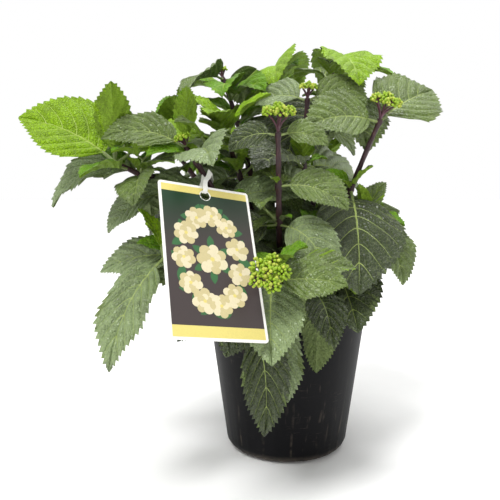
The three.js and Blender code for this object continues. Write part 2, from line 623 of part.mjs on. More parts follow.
// The strap is a closed band. It runs round the cane's far side, then both its limbs run to the card, one to
// its face and one behind it, and they meet through the hole. The two limbs turn about the middle line on the
// way, and the band's width turns with them.
function strapPath(line) {
  const cane = frameOn(line, STRAP_CANE.share);
  const hole = onCard(0, CARD.height / 2 - CARD.holeDown, 0);
  const [cardUp, cardOut] = [[0, 1, 0], [0, 0, 1]].map((way) => onCard(...way).sub(onCard(0, 0, 0)));
  const leaving = strapRing(line, 0.3).at.sub(cane.at).normalize();
  const aside = cane.along.clone().cross(leaving).normalize();
  if (aside.dot(cardOut) < 0) aside.negate();
  const widthAt = (t) => leaving.clone().lerp(cardUp.clone().negate(), t)
    .cross(aside.clone().lerp(cardOut, t)).normalize();

  // The loop round the cane slants across it, so its far side keeps off by more than its sides do.
  const slant = Math.acos(cane.along.dot(leaving));
  const round = caneRadius(STRAP_CANE.share) + GAP + STRAP.thick / 2 + STRAP.slack;
  const far = (round + STRAP.halfWidth * Math.abs(Math.cos(slant))) / Math.sin(slant);
  const loop = Array.from({ length: 7 }, (_, i) => {
    const angle = Math.PI * (1.5 - i / 6);
    const at = cane.at.clone().addScaledVector(leaving, Math.cos(angle) * far);
    at.addScaledVector(aside, Math.sin(angle) * round);
    return { at, width: widthAt(0), half: STRAP.halfWidth };
  });
  const limb = (t, out) => ({
    at: strapRing(line, t).at.addScaledVector(aside.clone().lerp(cardOut, t).normalize(), out),
    width: widthAt(t),
    half: STRAP.halfWidth + (STRAP.neck - STRAP.halfWidth) * t,
  });
  const near = (up, out) => ({
    at: hole.clone().addScaledVector(cardUp, up).addScaledVector(cardOut, out),
    width: widthAt(1),
    half: STRAP.neck,
  });
  const seat = CARD.holeRadius - GAP - STRAP.thick / 2 - STRAP.seatDrop;
  const face = [limb(0.3, round), limb(0.7, round), near(13, 4), near(seat + 1, 2.2)];
  const back = [near(seat + 1, -2.2), near(13, -4), limb(0.7, -round), limb(0.3, -round)];
  return [...loop, ...face, near(seat, 0), ...back];
}

function strapSolid(line) {
  const points = strapPath(line);
  const run = new THREE.CatmullRomCurve3(points.map((point) => point.at), true, 'centripetal');
  const vertices = [];
  for (let i = 0; i < STRAP.samples; i++) {
    const place = (i / STRAP.samples) * points.length;
    const [before, after] = [points[Math.floor(place)], points[(Math.floor(place) + 1) % points.length]];
    const along = run.getTangent(i / STRAP.samples);
    const width = before.width.clone().lerp(after.width, place % 1);
    const half = before.half + (after.half - before.half) * (place % 1);
    const depth = along.clone().cross(width).normalize();
    const ring = { at: run.getPoint(i / STRAP.samples), across: depth, up: depth.clone().cross(along) };
    for (const [out, high] of [[-1, -1], [1, -1], [1, 1], [-1, 1]]) {
      vertices.push(...offset(ring, (out * STRAP.thick) / 2, high * half));
    }
  }
  const triangles = [];
  for (let i = 0; i < STRAP.samples; i++) {
    for (let j = 0; j < 4; j++) {
      const [a, b] = [i * 4 + j, i * 4 + ((j + 1) % 4)];
      const [c, d] = [a, b].map((corner) => (corner + 4) % (STRAP.samples * 4));
      triangles.push(a, d, b, a, c, d);
    }
  }
  const geometry = new THREE.BufferGeometry();
  geometry.setAttribute('position', new THREE.Float32BufferAttribute(vertices, 3));
  return solidOf(geometry.setIndex(triangles));
}

// The pot: a thin tapered shell with a rounded foot and a stepped lip.
function potSolid() {
  const { height, rim, wall, foot, roundRadius, bodyTop } = POT;
  const bend = (radius, z, count) => Array.from({ length: count + 1 }, (_, i) => {
    const angle = (i / count) * (Math.PI / 2);
    return [foot + radius * Math.sin(angle), z + radius * (1 - Math.cos(angle))];
  });
  const lipFoot = height - LIP.height;
  const outer = [[0, 0], ...bend(roundRadius, 0, 4), [bodyTop, lipFoot], [rim - 2.4, lipFoot + 1.5],
    [rim - 2, lipFoot + LIP.step - 1], [rim, lipFoot + LIP.step], [rim, height - 1.5], [rim - 1, height]];
  const inner = [[rim - 4.5, height], [rim - 5.5, height - 2], [bodyTop - wall, lipFoot - 2],
    ...bend(roundRadius - wall, wall, 3).reverse(), [0, wall]];
  const profile = [...outer, ...inner].map(([r, z]) => new THREE.Vector2(r, z));
  return solidOf(new THREE.LatheGeometry(profile, POT_SIDES).rotateX(Math.PI / 2));
}

// The potting mix fills the pot to just under the lip.
function mixSolid() {
  const { wall, foot, roundRadius, bodyTop, height } = POT;
  const slope = (bodyTop - foot - roundRadius) / (height - LIP.height - roundRadius);
  const radiusAt = (z) => foot + roundRadius + slope * (z - roundRadius) - wall - 1.6;
  const edge = SOIL.top - SOIL.edgeDrop;
  const profile = [[0, wall + GAP], [foot - 4, wall + GAP], [foot + 6, wall + 4],
    [radiusAt(roundRadius), roundRadius], [radiusAt(edge), edge], [SOIL.flatRadius, SOIL.top], [0, SOIL.top]];
  const points = profile.map(([r, z]) => new THREE.Vector2(r, z));
  return solidOf(new THREE.LatheGeometry(points, POT_SIDES).rotateX(Math.PI / 2));
}

const lines = SHOOTS.map(caneLine);
const strapLine = lines[SHOOTS.findIndex((shoot) => shoot.name === STRAP_CANE.name)];

// The canes, the bud heads and the label stand first. A leaf may start on its own limb, but clears its bough.
SHOOTS.forEach((shoot, index) => {
  standing.push(bodyOf(roundSkin(caneRings(lines[index], 0, 1, 8), 5, 2), shoot.name, true));
  standing.push(bodyOf(roundSkin(caneRings(lines[index], 0, boughEnd(shoot), 4), 5, 2), shoot.name));
  if (shoot.buds) standing.push(bodyOf(budHeadSkin(lines[index], shoot.buds), shoot.name));
});
standing.push(bodyOf(cardSkin(), 'label'), bodyOf(strapSkin(strapLine), 'label'));

// Leaves are placed shoot by shoot from the front of the crown, then the twigs with their small pairs.
const grown = SHOOTS.map((shoot, index) => leavesOf(shoot, index, lines[index])
  .map((leaf) => place(leaf, shoot.name)).filter(Boolean).map(leafSolid));

SHOOTS.forEach((shoot, index) => {
  for (const twig of twigsOf(shoot, index, lines[index])) {
    const start = stalkFrom({ root: twig.root, base: twig.end });
    const body = bodyOf(roundSkin(rodRings(start, twig.end, 2, 2), 3, 0), shoot.name, true);
    if (!isClear(body)) continue;
    const leaves = twigLeaves(twig).map((leaf) => place(leaf, shoot.name)).filter(Boolean);
    if (!leaves.length) continue;
    standing.push(body);
    const stick = sweep(rodRings(twig.root, twig.end, TWIG.radius, TWIG.radius * 0.8), 3);
    grown[index].push(stick, ...leaves.map(leafSolid));
  }
});

const plant = new THREE.Group();
plant.add(meshOf(potSolid(), 'pot', PLASTIC));
plant.add(meshOf(mixSolid(), 'potting_mix', MIX));
SHOOTS.forEach((shoot, index) => {
  const line = lines[index];
  const enter = boughEnd(shoot);
  const gapShare = GAP / line.foot.distanceTo(line.tip);
  const bough = sweep(caneRings(line, 0, enter, CANE.rings), CANE.sides);
  const stem = sweep(caneRings(line, enter + gapShare, 1, CANE.stemRings), CANE.sides);
  const heads = shoot.buds ? budHeadSolids(line, shoot.buds) : [];
  plant.add(meshOf(bough, `cane_${shoot.name}`, BARK));
  plant.add(meshOf(Manifold.union([stem, ...heads, ...grown[index]]), `leaves_${shoot.name}`,
    shoot.lime ? LIME_LEAVES : LEAVES));
});
plant.add(meshOf(cardSolid(), 'label_card', CARD_STOCK));
plant.add(meshOf(strapSolid(strapLine), 'label_strap', STRAP_PLASTIC));

export default plant;
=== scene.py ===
"""A hydrangea shrub in a black nursery pot, with its plant label, laid out as a Blender add-on.

The plant grows here by the same rule as its solids, in millimetres. It is then given leaves with teeth,
veins and quilting, canes with their bark, and heads of single flower buds. Meshes are in metres.
"""

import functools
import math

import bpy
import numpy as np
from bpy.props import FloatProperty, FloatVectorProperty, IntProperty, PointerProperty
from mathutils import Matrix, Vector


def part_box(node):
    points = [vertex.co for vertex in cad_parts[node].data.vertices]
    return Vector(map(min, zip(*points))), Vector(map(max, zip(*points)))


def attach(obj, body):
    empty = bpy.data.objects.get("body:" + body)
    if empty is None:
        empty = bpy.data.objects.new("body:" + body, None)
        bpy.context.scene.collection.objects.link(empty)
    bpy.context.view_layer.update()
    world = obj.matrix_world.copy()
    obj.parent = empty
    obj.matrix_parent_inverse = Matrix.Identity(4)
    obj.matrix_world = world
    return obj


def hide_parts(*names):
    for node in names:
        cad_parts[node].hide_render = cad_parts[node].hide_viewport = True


bl_info = {
    "name": "Potted hydrangea shrub",
    "version": (1, 0, 0),
    "blender": (4, 5, 0),
    "location": "View3D > Sidebar > Shrub",
    "description": "Grows a hydrangea shrub in a nursery pot, with its plant label",
    "category": "Add Mesh",
}

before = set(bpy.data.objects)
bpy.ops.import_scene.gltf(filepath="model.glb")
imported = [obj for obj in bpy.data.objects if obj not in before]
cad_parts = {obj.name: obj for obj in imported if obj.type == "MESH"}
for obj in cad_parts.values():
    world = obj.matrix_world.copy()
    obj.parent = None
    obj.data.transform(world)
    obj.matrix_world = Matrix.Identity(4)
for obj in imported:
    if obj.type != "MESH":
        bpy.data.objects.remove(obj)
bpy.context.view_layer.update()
POT_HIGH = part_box("pot")[1]

MM = 0.001
UP = np.array([0.0, 0.0, 1.0])
DEGREE = math.pi / 180
FULL_TURN = 2 * math.pi

# The rule's sizes in millimetres and degrees, as in the part
SOIL_TOP = 170
CLEARANCE = 0.3
POT_KEEP = {"height": 194, "radius": 106, "floor": 6}
CANE = {"foot": 4.8, "tip": 3.0}
STALK = {"share": 0.14, "least": 3}
STATIONS = np.array([0, 0.16, 0.42, 0.72, 1])
OUTLINE = {"root": 0.6, "tip": 0.85, "peak": 0.748}
FOLD = 15 * DEGREE
STRAY = {"turn": 9, "lift": 7, "hang": 12, "twist": 12, "length": 0.07, "wide": 0.08}
LEAN_LIFT = 14
TOP_NODE = 0.985
YOUNG_NODE = 0.995
BARE_FOOT = 0.06
LOWER_PAIRS = {"size": 1.05, "shrink": 0.05, "droop": 4}
BUD_HEAD = {"spread": 11.5, "lump": 5.8, "stalk": 24, "rise": 0.84, "outer": 5}
TWIG = {"length": 22, "radius": 1.5, "leaf": 38, "chance": 0.3, "turn": 28, "lift": 46, "skin": 2}
TWIG_LEAF = {"turn": 62, "lift": 38, "breadth": 0.86}
YOUNG = {"breadth": 0.7, "lift": 68, "hang": 46}
FACING = {"middle": 90, "sidewise": 0.5, "roll": 50, "small": 0.5}
SKIN = 2.5
LIMB_SKIN = 2
LIFTS = (0, 12, -12, 24, -24, -38)
TURNS = (0, 14, -14, 28, -28)
SIZES = (1, 0.86, 0.72)
CARD = {"width": 94, "height": 156, "thick": 1, "hole_down": 10, "hole": 5.4}
CARD_POSE = {"centre": (-80.5, -214.5, 261.5), "yaw": 32.5, "pitch": 31.8, "roll": 10.4}
CARD_KEEP = 4
STRAP = {"cane": "left_mid", "share": 0.8, "bow": 14, "skin": 9}

# The finest growth, which only this file makes
SPRIG = {"leaf": 34, "grow": 10, "larger": 18, "short": 0.25, "chance": 0.9, "lift": 50, "breadth": 0.62,
         "turn": 35}

# Steps of the keys that the seeded numbers are drawn by, and where each kind of growth starts
KEY_STEP = {"shoot": 1000, "pair": 20, "side": 7, "cluster": 40}
KEY_START = {"leaf": 0, "young": 500, "twig": 700, "sprig": 860}

# One entry for each shoot, as in the part: where its cane stands, leans and bends, its pairs of leaves, their
# compass turn, size, breadth, lift and hang, its bud head, the leaves that are lost, and those set apart.
# lime makes its top leaves lime green, which the part leaves out on back_centre. Two entries are only here:
# grey is the share of its old leaves whose colour is grey green, painted sheen, and fine enlarges its sprigs
SHOOTS = [
    dict(name="right_tall", foot=(34, -14), tip=(100, -62, 400), bend=(0.3, 0.5), pairs=4, drop=0.33,
         low=0.3, turn=10, leaf=106, top=0.76, wide=0.86, lift=16, hang=38, fade=36, buds=1,
         own={0: dict(turn=4, lift=40, hang=-26, twist=-8, long=1.12, wide=1.1), 1: dict(long=0.92),
              3: dict(turn=-10, lift=-14, hang=6, long=1.16, wide=1.08)}),
    dict(name="front_centre", foot=(-8, -28), tip=(-17, -120, 382), bend=(0.75, 0.5), pairs=4, drop=0.25,
         low=0.34, turn=172, leaf=90, top=0.55, wide=0.72, lift=14, hang=66, fade=14, buds=1, grey=0.35,
         own={2: dict(turn=84, lift=-4, long=0.74)}),
    dict(name="centre_tall", foot=(14, 6), tip=(20, -40, 426), bend=(0.4, 0.55), pairs=5, drop=0.32,
         low=0.26, turn=140, leaf=98, top=0.66, wide=0.78, lift=20, hang=60, fade=10, buds=0.6, grey=0.5),
    dict(name="low_front", foot=(-14, -44), tip=(-28, -216, 240), bend=(0.3, 0.95), pairs=3, drop=0.2,
         low=0.55, turn=-4, leaf=82, top=0.84, wide=0.76, lift=8, hang=40, fade=14, buds=1.05, grey=0.35,
         own={0: dict(long=0.88)}),
    dict(name="left_mid", foot=(-26, -22), tip=(-113, -116, 368), bend=(0.35, 0.55), pairs=4, drop=0.08,
         low=0.42, turn=182, leaf=92, top=0.95, wide=0.6, lift=30, hang=56, fade=8, buds=0.5, young=0.68,
         lost=(1,), grey=0.6),
    dict(name="far_left", foot=(-40, -6), tip=(-192, -100, 352), bend=(0.35, 0.75), pairs=3, drop=0.12,
         low=0.72, turn=180, leaf=74, top=1.34, wide=0.78, lift=24, hang=46, fade=30, young=1.1,
         lime=True, grey=0.6,
         own={0: dict(lift=1, long=0.98, wide=1.12), 1: dict(turn=10, lift=18), 2: dict(long=0.8)}),
    dict(name="low_left", foot=(-42, -28), tip=(-138, -118, 252), bend=(0.35, 0.95), pairs=3, drop=0.2,
         low=0.5, turn=230, leaf=114, top=1, wide=0.46, lift=-48, hang=46, fade=-20, young=0.5, lost=(1,),
         grey=0.8,
         own={0: dict(turn=10), 3: dict(turn=30, lift=40, long=0.85, wide=1.2),
              5: dict(turn=-40, lift=25)}),
    dict(name="low_front_left", foot=(-34, -40), tip=(-42, -130, 188), bend=(0.5, 3), pairs=2, drop=0.26,
         low=0.7, turn=276, leaf=104, top=1, wide=0.46, lift=-46, hang=40, fade=-36, lost=(1,), grey=0.5,
         own={3: dict(long=0.75)}),
    dict(name="low_front_right", foot=(12, -42), tip=(24, -132, 212), bend=(0.45, 1.7), pairs=2, drop=0.2,
         low=0.62, turn=280, leaf=82, top=0.92, wide=0.56, lift=-14, hang=62, fade=-8, lost=(2,)),
    dict(name="low_right", foot=(46, 4), tip=(86, -52, 284), bend=(0.35, 0.85), pairs=4, drop=0.18,
         low=0.4, turn=-55, leaf=78, top=0.95, wide=0.74, lift=-14, hang=72, fade=-6, young=0.68,
         own={0: dict(turn=-2, long=0.96), 2: dict(turn=40), 5: dict(turn=40, long=1.2)}),
    dict(name="mid_front", foot=(4, -34), tip=(26, -112, 268), bend=(0.4, 0.8), pairs=4, drop=0.18,
         low=0.36, turn=210, leaf=90, top=0.9, wide=0.76, lift=8, hang=66, fade=10, young=0.68),
    dict(name="young_centre", foot=(-16, 0), tip=(-74, -52, 382), bend=(0.35, 0.55), pairs=4, drop=0.22,
         low=0.36, turn=70, leaf=88, top=0.8, wide=0.6, lift=34, hang=60, fade=14, young=0.68, lime=True,
         grey=0.5, fine=1.3),
    dict(name="left_back", foot=(-36, 22), tip=(-148, 24, 376), bend=(0.35, 0.6), pairs=4, drop=0.22,
         low=0.4, turn=190, leaf=96, top=0.9, wide=0.74, lift=16, hang=70, fade=10, young=0.68, grey=0.5,
         fine=1.5),
    dict(name="left_bud", foot=(-30, 8), tip=(-158, -74, 338), bend=(0.35, 0.75), pairs=3, drop=0.2,
         low=0.48, turn=192, leaf=88, top=0.9, wide=0.56, lift=0, hang=70, fade=4, buds=0.45, grey=0.5,
         own={0: dict(lift=5, hang=8, long=1.4, wide=0.8)}),
    dict(name="back_left", foot=(-18, 26), tip=(-82, 58, 464), bend=(0.3, 0.6), pairs=4, drop=0.22,
         low=0.34, turn=212, leaf=100, top=0.85, wide=0.74, lift=8, hang=68, fade=20, buds=0.45, grey=0.4,
         fine=1.6,
         own={0: dict(turn=20, lift=-4)}),
    dict(name="back_right", foot=(24, 26), tip=(62, 44, 487), bend=(0.3, 0.6), pairs=4, drop=0.2,
         low=0.32, turn=-88, leaf=106, top=0.95, wide=0.86, lift=-6, hang=66, fade=2, lime=True,
         own={0: dict(turn=-12, long=0.92), 2: dict(turn=-62, lift=-6), 4: dict(turn=-60)}),
    dict(name="back_centre", foot=(2, 34), tip=(-12, 104, 480), bend=(0.3, 0.62), pairs=4, drop=0.22,
         low=0.34, turn=248, leaf=102, top=0.85, wide=0.76, lift=8, hang=68, fade=16, lime=True),
    dict(name="right_back", foot=(42, 28), tip=(98, 92, 296), bend=(0.32, 0.7), pairs=4, drop=0.22,
         low=0.38, turn=40, leaf=98, top=0.85, wide=0.76, lift=6, hang=72, fade=2,
         own={3: dict(turn=30, long=0.85), 6: dict(long=0.85)}),
    dict(name="low_back", foot=(14, 48), tip=(48, 168, 328), bend=(0.32, 0.8), pairs=4, drop=0.2, low=0.4,
         turn=55, leaf=100, top=0.95, wide=0.76, lift=12, hang=74, fade=6, young=0.68),
    dict(name="low_back_left", foot=(-28, 40), tip=(-116, 134, 316), bend=(0.32, 0.8), pairs=4, drop=0.2,
         low=0.4, turn=85, leaf=100, top=0.95, wide=0.74, lift=12, hang=74, fade=6, young=0.68),
]

# The leaf pieces, and the shoots whose leaves each one holds
LEAF_PIECES = {
    "leaves_front": ("right_tall", "front_centre", "centre_tall", "low_front", "low_front_left",
                     "low_front_right", "low_right", "mid_front"),
    "leaves_left": ("left_mid", "low_left", "left_back", "left_bud"),
    "leaves_back": ("back_left", "back_centre", "right_back", "low_back", "low_back_left"),
    "young_leaves": ("far_left", "young_centre", "back_right"),
}


def tone(code):
    """A colour in linear light, from its code as it shows on a screen."""
    shares = [int(code[i:i + 2], 16) / 255 for i in (1, 3, 5)]
    return tuple(s / 12.92 if s <= 0.04045 else ((s + 0.055) / 1.055) ** 2.4 for s in shares)


def colour(name, text, code):
    return FloatVectorProperty(name=name, description=text, subtype="COLOR", size=3, min=0, max=1,
                               default=tone(code))


def length(name, text, metres):
    return FloatProperty(name=name, description=text, default=metres, min=0, unit="LENGTH",
                         subtype="DISTANCE")


def amount(name, text, default):
    return FloatProperty(name=name, description=text, default=default, min=0)


class PotSettings(bpy.types.PropertyGroup):
    """The nursery pot and the potting mix in it."""

    height: length("Height", "Height of the pot", POT_HIGH.z)
    rim: length("Rim", "Outer radius of the rim", POT_HIGH.x)
    foot: length("Foot", "Radius of the flat underside", 0.0595)
    body: length("Body", "Outer radius just under the lip", 0.0975)
    wall: length("Wall", "Thickness of the wall", 0.002)
    ribs: IntProperty(name="Ribs", description="Pairs of upright ribs round the wall", default=14, min=0)
    chips: IntProperty(name="Chips", description="Bark chips on the potting mix", default=420, min=0)
    plastic: colour("Plastic", "Black plastic of the pot", "#08080b")
    dust: colour("Dust", "Dust and scuffs on the plastic", "#6a6054")
    mix: colour("Mix", "Potting mix", "#2c2119")


class LeafSettings(bpy.types.PropertyGroup):
    """The shape and colours of the leaves."""

    tooth: amount("Tooth", "Depth of the margin's teeth, to the leaf", 0.03)
    quilt: amount("Quilting", "Rise between side veins, to the leaf", 0.028)
    wave: amount("Wave", "Waviness of the margin, to the leaf", 0.03)
    thickness: length("Thickness", "Thickness of a blade", 0.0005)
    # Deep and middle green are one old leaf's green with painted shade and painted light: deep green is put
    # on leaves in the crown's shade, middle green on leaves in the light
    deep: colour("Deep green", "Old leaves in the crown", "#2a3712")
    middle: colour("Middle green", "Old leaves in the light", "#566a28")
    # Grey green is painted sheen: the pale grey that the sky's reflection gives some old leaves, put into
    # their colour
    grey: colour("Grey green", "Leaves with a pale bloom", "#75865a")
    fresh: colour("Fresh green", "Young leaves", "#5a8504")
    lime: colour("Lime green", "The youngest leaves", "#789c00")
    vein: colour("Vein", "Veins of the old leaves", "#93a35a")
    lime_vein: colour("Lime vein", "Veins of the young leaves", "#94ac3c")
    under: colour("Underside", "Undersides of the old leaves", "#697848")
    lime_under: colour("Lime underside", "Undersides of the young leaves", "#6d8a20")


class WoodSettings(bpy.types.PropertyGroup):
    """Canes, stalks and flower buds."""

    node_swell: amount("Node swell", "Thickening at a pair of leaves, to the cane", 0.3)
    cane: amount("Cane", "Breadth of a cane under its bark, to the rule's", 0.88)
    bud: length("Bud", "Radius of a flower bud", 0.0016)
    buds_in_cluster: IntProperty(name="Buds", description="Flower buds in a cluster", default=30, min=1)
    bark: colour("Bark", "Purple brown bark", "#361a20")
    bark_light: colour("Light bark", "Worn and fresh bark", "#573533")
    stalk: colour("Leaf stalk", "Stalks of the leaves", "#7f8f52")
    bud_stalk: colour("Bud stalk", "Branchlets of the bud heads", "#5a3440")
    bud_green: colour("Bud", "Flower buds", "#8fae20")
    bud_pale: colour("Pale bud", "Riper flower buds", "#b4c046")


class LabelSettings(bpy.types.PropertyGroup):
    """The plant label's printed card."""

    border: length("Border", "White border of the card", 0.0026)
    band: length("Band", "Height of the lower yellow band", 0.0105)
    card: colour("Card", "White card", "#f3f1ec")
    yellow: colour("Yellow", "Bands", "#dccd78")
    panel: colour("Panel", "Dark panel", "#453d3c")
    panel_top: colour("Panel's top", "Green that the panel fades to at its top", "#1f3a26")
    petal: colour("Petal", "Petals of the printed flowers", "#c8bb8c")
    petal_light: colour("Light petal", "Petals in the light", "#ddd2b0")
    petal_shade: colour("Petal shade", "Hollows between the petals", "#7d7f3e")
    leaf: colour("Leaf", "Printed leaves", "#3c6b41")


class StageSettings(bpy.types.PropertyGroup):
    """Floor, light and camera."""

    floor: colour("Floor", "Pale floor", "#fdfdfc")
    sky: amount("Sky", "Strength of the light from all sides", 1.0)
    zenith: amount("Zenith", "Light from straight above, to the horizon's", 0.5)
    sun: amount("Sun", "Strength of the soft sun from the upper left", 2.4)
    top: amount("Top", "Power of the light over the plant", 14)
    lens: FloatProperty(name="Lens", description="Focal length in millimetres", default=46.8, min=1)
    tilt: FloatProperty(name="Tilt", description="Degrees that the camera looks down", default=6.5)


SETTINGS = {
    "shrub_pot": PotSettings,
    "shrub_leaf": LeafSettings,
    "shrub_wood": WoodSettings,
    "shrub_label": LabelSettings,
    "shrub_stage": StageSettings,
}


# Numbers that depend only on a key and a count, so that each leaf keeps its own shape

def draw(key, count):
    mask = 0xFFFFFFFF
    x = ((key * 0x9E3779B1) ^ ((count + 1) * 0x85EBCA6B)) & mask
    x = ((x ^ (x >> 15)) * 0x2C1B3C6D) & mask
    x = ((x ^ (x >> 12)) * 0x297A2D39) & mask
    return (x ^ (x >> 15)) / 4294967296


def sway(key, count, spread):
    return (draw(key, count) * 2 - 1) * spread


def unit(vector):
    return vector / np.linalg.norm(vector)


# Lines and rings of the canes

def ring_across(at, along):
    """A ring's directions from the way along it: one level, one at right angles to both."""
    across = unit(np.array([1.0, 0, 0]) - along * along[0])
    return {"at": at, "along": along, "across": across, "up": np.cross(across, along)}


def offset(ring, sideways, upwards):
    return ring["at"] + ring["across"] * sideways + ring["up"] * upwards


def cane_line(shoot):
    foot = np.array([*shoot["foot"], SOIL_TOP + CLEARANCE], float)
    tip = np.array(shoot["tip"], float)
    out, rise = shoot["bend"]
    return foot, foot + (tip - foot) * np.array([out, out, rise]), tip


def point_on(line, t):
    foot, bend, tip = line
    return foot * (1 - t) ** 2 + bend * (2 * t * (1 - t)) + tip * t * t


def frame_on(line, t):
    foot, bend, tip = line
    return ring_across(point_on(line, t), unit((bend - foot) * (1 - t) + (tip - bend) * t))


def cane_radius(t):
    return CANE["foot"] + (CANE["tip"] - CANE["foot"]) * t


def cane_rings(line, first, last, count):
    rings = []
    for i in range(count):
        t = first + (last - first) * i / (count - 1)
        ring = ring_across(line[0], UP) if t == 0 else frame_on(line, t)
        rings.append({**ring, "radius": cane_radius(t)})
    return rings


def rod_rings(start, end, radius_start, radius_end):
    along = unit(end - start)
    return [{**ring_across(at, along), "radius": radius}
            for at, radius in ((start, radius_start), (end, radius_end))]


# A leaf's midrib is an arc in an upright plane, set by its heading, its lift at the stalk and its hang

def half_breadth(leaf, t):
    return (t ** OUTLINE["root"] * (1 - t) ** OUTLINE["tip"] * leaf["length"] * leaf["wide"]
            / OUTLINE["peak"])


def leaf_frame(leaf, t):
    """Places and directions on a leaf's midrib, for an array of shares of its length."""
    slope = leaf["lift"] - leaf["hang"] * t
    reach = (math.sin(leaf["lift"]) - np.sin(slope)) / leaf["hang"] * leaf["length"]
    climb = (np.cos(slope) - math.cos(leaf["lift"])) / leaf["hang"] * leaf["length"]
    ahead, aside = math.cos(leaf["heading"]), math.sin(leaf["heading"])
    at = leaf["base"] + np.stack([ahead * reach, aside * reach, climb], -1)
    along = np.stack([ahead * np.cos(slope), aside * np.cos(slope), np.sin(slope)], -1)
    side = np.broadcast_to(np.array([aside, -ahead, 0.0]), along.shape)
    across = side * math.cos(leaf["roll"]) - np.cross(side, along) * math.sin(leaf["roll"])
    return at, along, across, np.cross(across, along)


# Test bodies are arrays of triangles: a leaf that is tried is its bare surface, one that stands has a skin

def triangles_of(rows):
    rows = np.asarray(rows)
    a, b, c, d = rows[:-1, :-1], rows[1:, :-1], rows[1:, 1:], rows[:-1, 1:]
    return np.concatenate([np.stack(corners, 2).reshape(-1, 3, 3) for corners in ((a, b, c), (a, c, d))])


def leaf_rows(leaf, aside, above):
    at, _, across, up = leaf_frame(leaf, STATIONS)
    half = (half_breadth(leaf, STATIONS) + aside)[:, None]
    level, rise = math.cos(FOLD), math.sin(FOLD)
    return np.stack([at + across * side * half * level + up * (abs(side) * half * rise + above)
                     for side in (-1, 0, 1)], 1)


def stalk_start(leaf):
    return (leaf["root"] + leaf["base"]) / 2


def bare_leaf(leaf):
    start = np.repeat(stalk_start(leaf)[None, None], 3, 1)
    return triangles_of(np.concatenate([start, leaf_rows(leaf, 0, 0)]))


def leaf_skin(leaf):
    top = leaf_rows(leaf, 1, SKIN)
    rows = np.concatenate([top, leaf_rows(leaf, 1, -SKIN)[:, ::-1], top[:, :1]], 1)
    return triangles_of(np.concatenate([rows[:1] - leaf["base"] + stalk_start(leaf), rows]))


def round_skin(rings, sides, margin):
    turns = [i / sides * FULL_TURN for i in range(sides + 1)]
    return triangles_of([[offset(ring, math.cos(a) * reach, math.sin(a) * reach) for a in turns]
                         for ring, reach in ((ring, ring["radius"] + margin) for ring in rings)])


def pierces(ones, others):
    """True if an edge of one set of triangles passes through a triangle of the other."""
    start = ones.reshape(-1, 3)
    way = np.roll(ones, -1, axis=1).reshape(-1, 3) - start
    corner, u, v = others[:, 0], others[:, 1] - others[:, 0], others[:, 2] - others[:, 0]
    turned = np.cross(start, way)
    normal = np.cross(u, v)
    scale = -way @ normal.T
    scale[np.abs(scale) < 1e-9] = np.nan
    b = (turned @ v.T + way @ np.cross(corner, v).T) / scale
    c = -(turned @ u.T + way @ np.cross(corner, u).T) / scale
    share = (start @ normal.T - np.sum(corner * normal, 1)) / scale
    with np.errstate(invalid="ignore"):
        return bool(np.any((b >= 0) & (b <= 1) & (c >= 0) & (b + c <= 1) & (share >= 0) & (share <= 1)))


class Standing:
    """The bodies that already stand, which a new leaf has to clear."""

    def __init__(self):
        self.triangles, self.owners, self.limbs = [], [], []
        self.low, self.high = np.zeros((0, 3)), np.zeros((0, 3))

    def add(self, triangles, owner, limb=False):
        self.triangles.append(triangles)
        self.owners.append(owner)
        self.limbs.append(limb)
        self.low = np.vstack([self.low, triangles.min((0, 1))])
        self.high = np.vstack([self.high, triangles.max((0, 1))])

    def is_clear(self, triangles, owner):
        near = np.all((self.low <= triangles.max((0, 1))) & (self.high >= triangles.min((0, 1))), axis=1)
        others = [self.triangles[i] for i in np.flatnonzero(near)
                  if not (self.limbs[i] and self.owners[i] == owner)]
        if not others:
            return True
        others = np.concatenate(others)
        return not (pierces(triangles, others) or pierces(others, triangles))


def meets_pot(triangles):
    x, y, z = triangles.reshape(-1, 3).T
    inside = (z < POT_KEEP["height"]) & (np.hypot(x, y) < POT_KEEP["radius"])
    return bool(np.any(z < POT_KEEP["floor"]) or np.any(inside))


# The leaves that are wanted, and how each one is settled clear of what stands

def key_of(kind, index, pair, side):
    return index * KEY_STEP["shoot"] + KEY_START[kind] + pair * KEY_STEP["pair"] + side * KEY_STEP["side"]


def leaf_from(ring, turn, length, shoot, key, lift):
    heading = (turn + sway(key, 0, STRAY["turn"])) * DEGREE
    lean = ring["along"][0] * math.cos(heading) + ring["along"][1] * math.sin(heading)
    return {
        "root": ring["at"],
        "heading": heading,
        "lift": (lift + lean * LEAN_LIFT + sway(key, 1, STRAY["lift"])) * DEGREE,
        "hang": (shoot["hang"] + sway(key, 2, STRAY["hang"])) * DEGREE,
        "twist": sway(key, 3, STRAY["twist"]),
        "length": length * (1 + sway(key, 4, STRAY["length"])),
        "wide": shoot["wide"] * (1 + sway(key, 5, STRAY["wide"])),
        "key": key,
        "small": False,
    }


def settled(leaf, lift, turn, size):
    moved = {**leaf, "lift": leaf["lift"] + lift * DEGREE, "heading": leaf["heading"] + turn * DEGREE,
             "length": leaf["length"] * size}
    stalk = moved["length"] * STALK["share"] + STALK["least"]
    level = math.cos(moved["lift"]) * stalk
    ahead, aside = math.cos(moved["heading"]), math.sin(moved["heading"])
    moved["base"] = leaf["root"] + np.array([ahead * level, aside * level, math.sin(moved["lift"]) * stalk])
    out_x, out_y = moved["base"][0] * FACING["sidewise"], moved["base"][1] - FACING["middle"]
    tilt = (out_x * aside - out_y * ahead) / math.hypot(out_x, out_y)
    roll = FACING["roll"] * (FACING["small"] if leaf["small"] else 1)
    moved["roll"] = (roll * tilt + leaf["twist"]) * DEGREE
    return moved


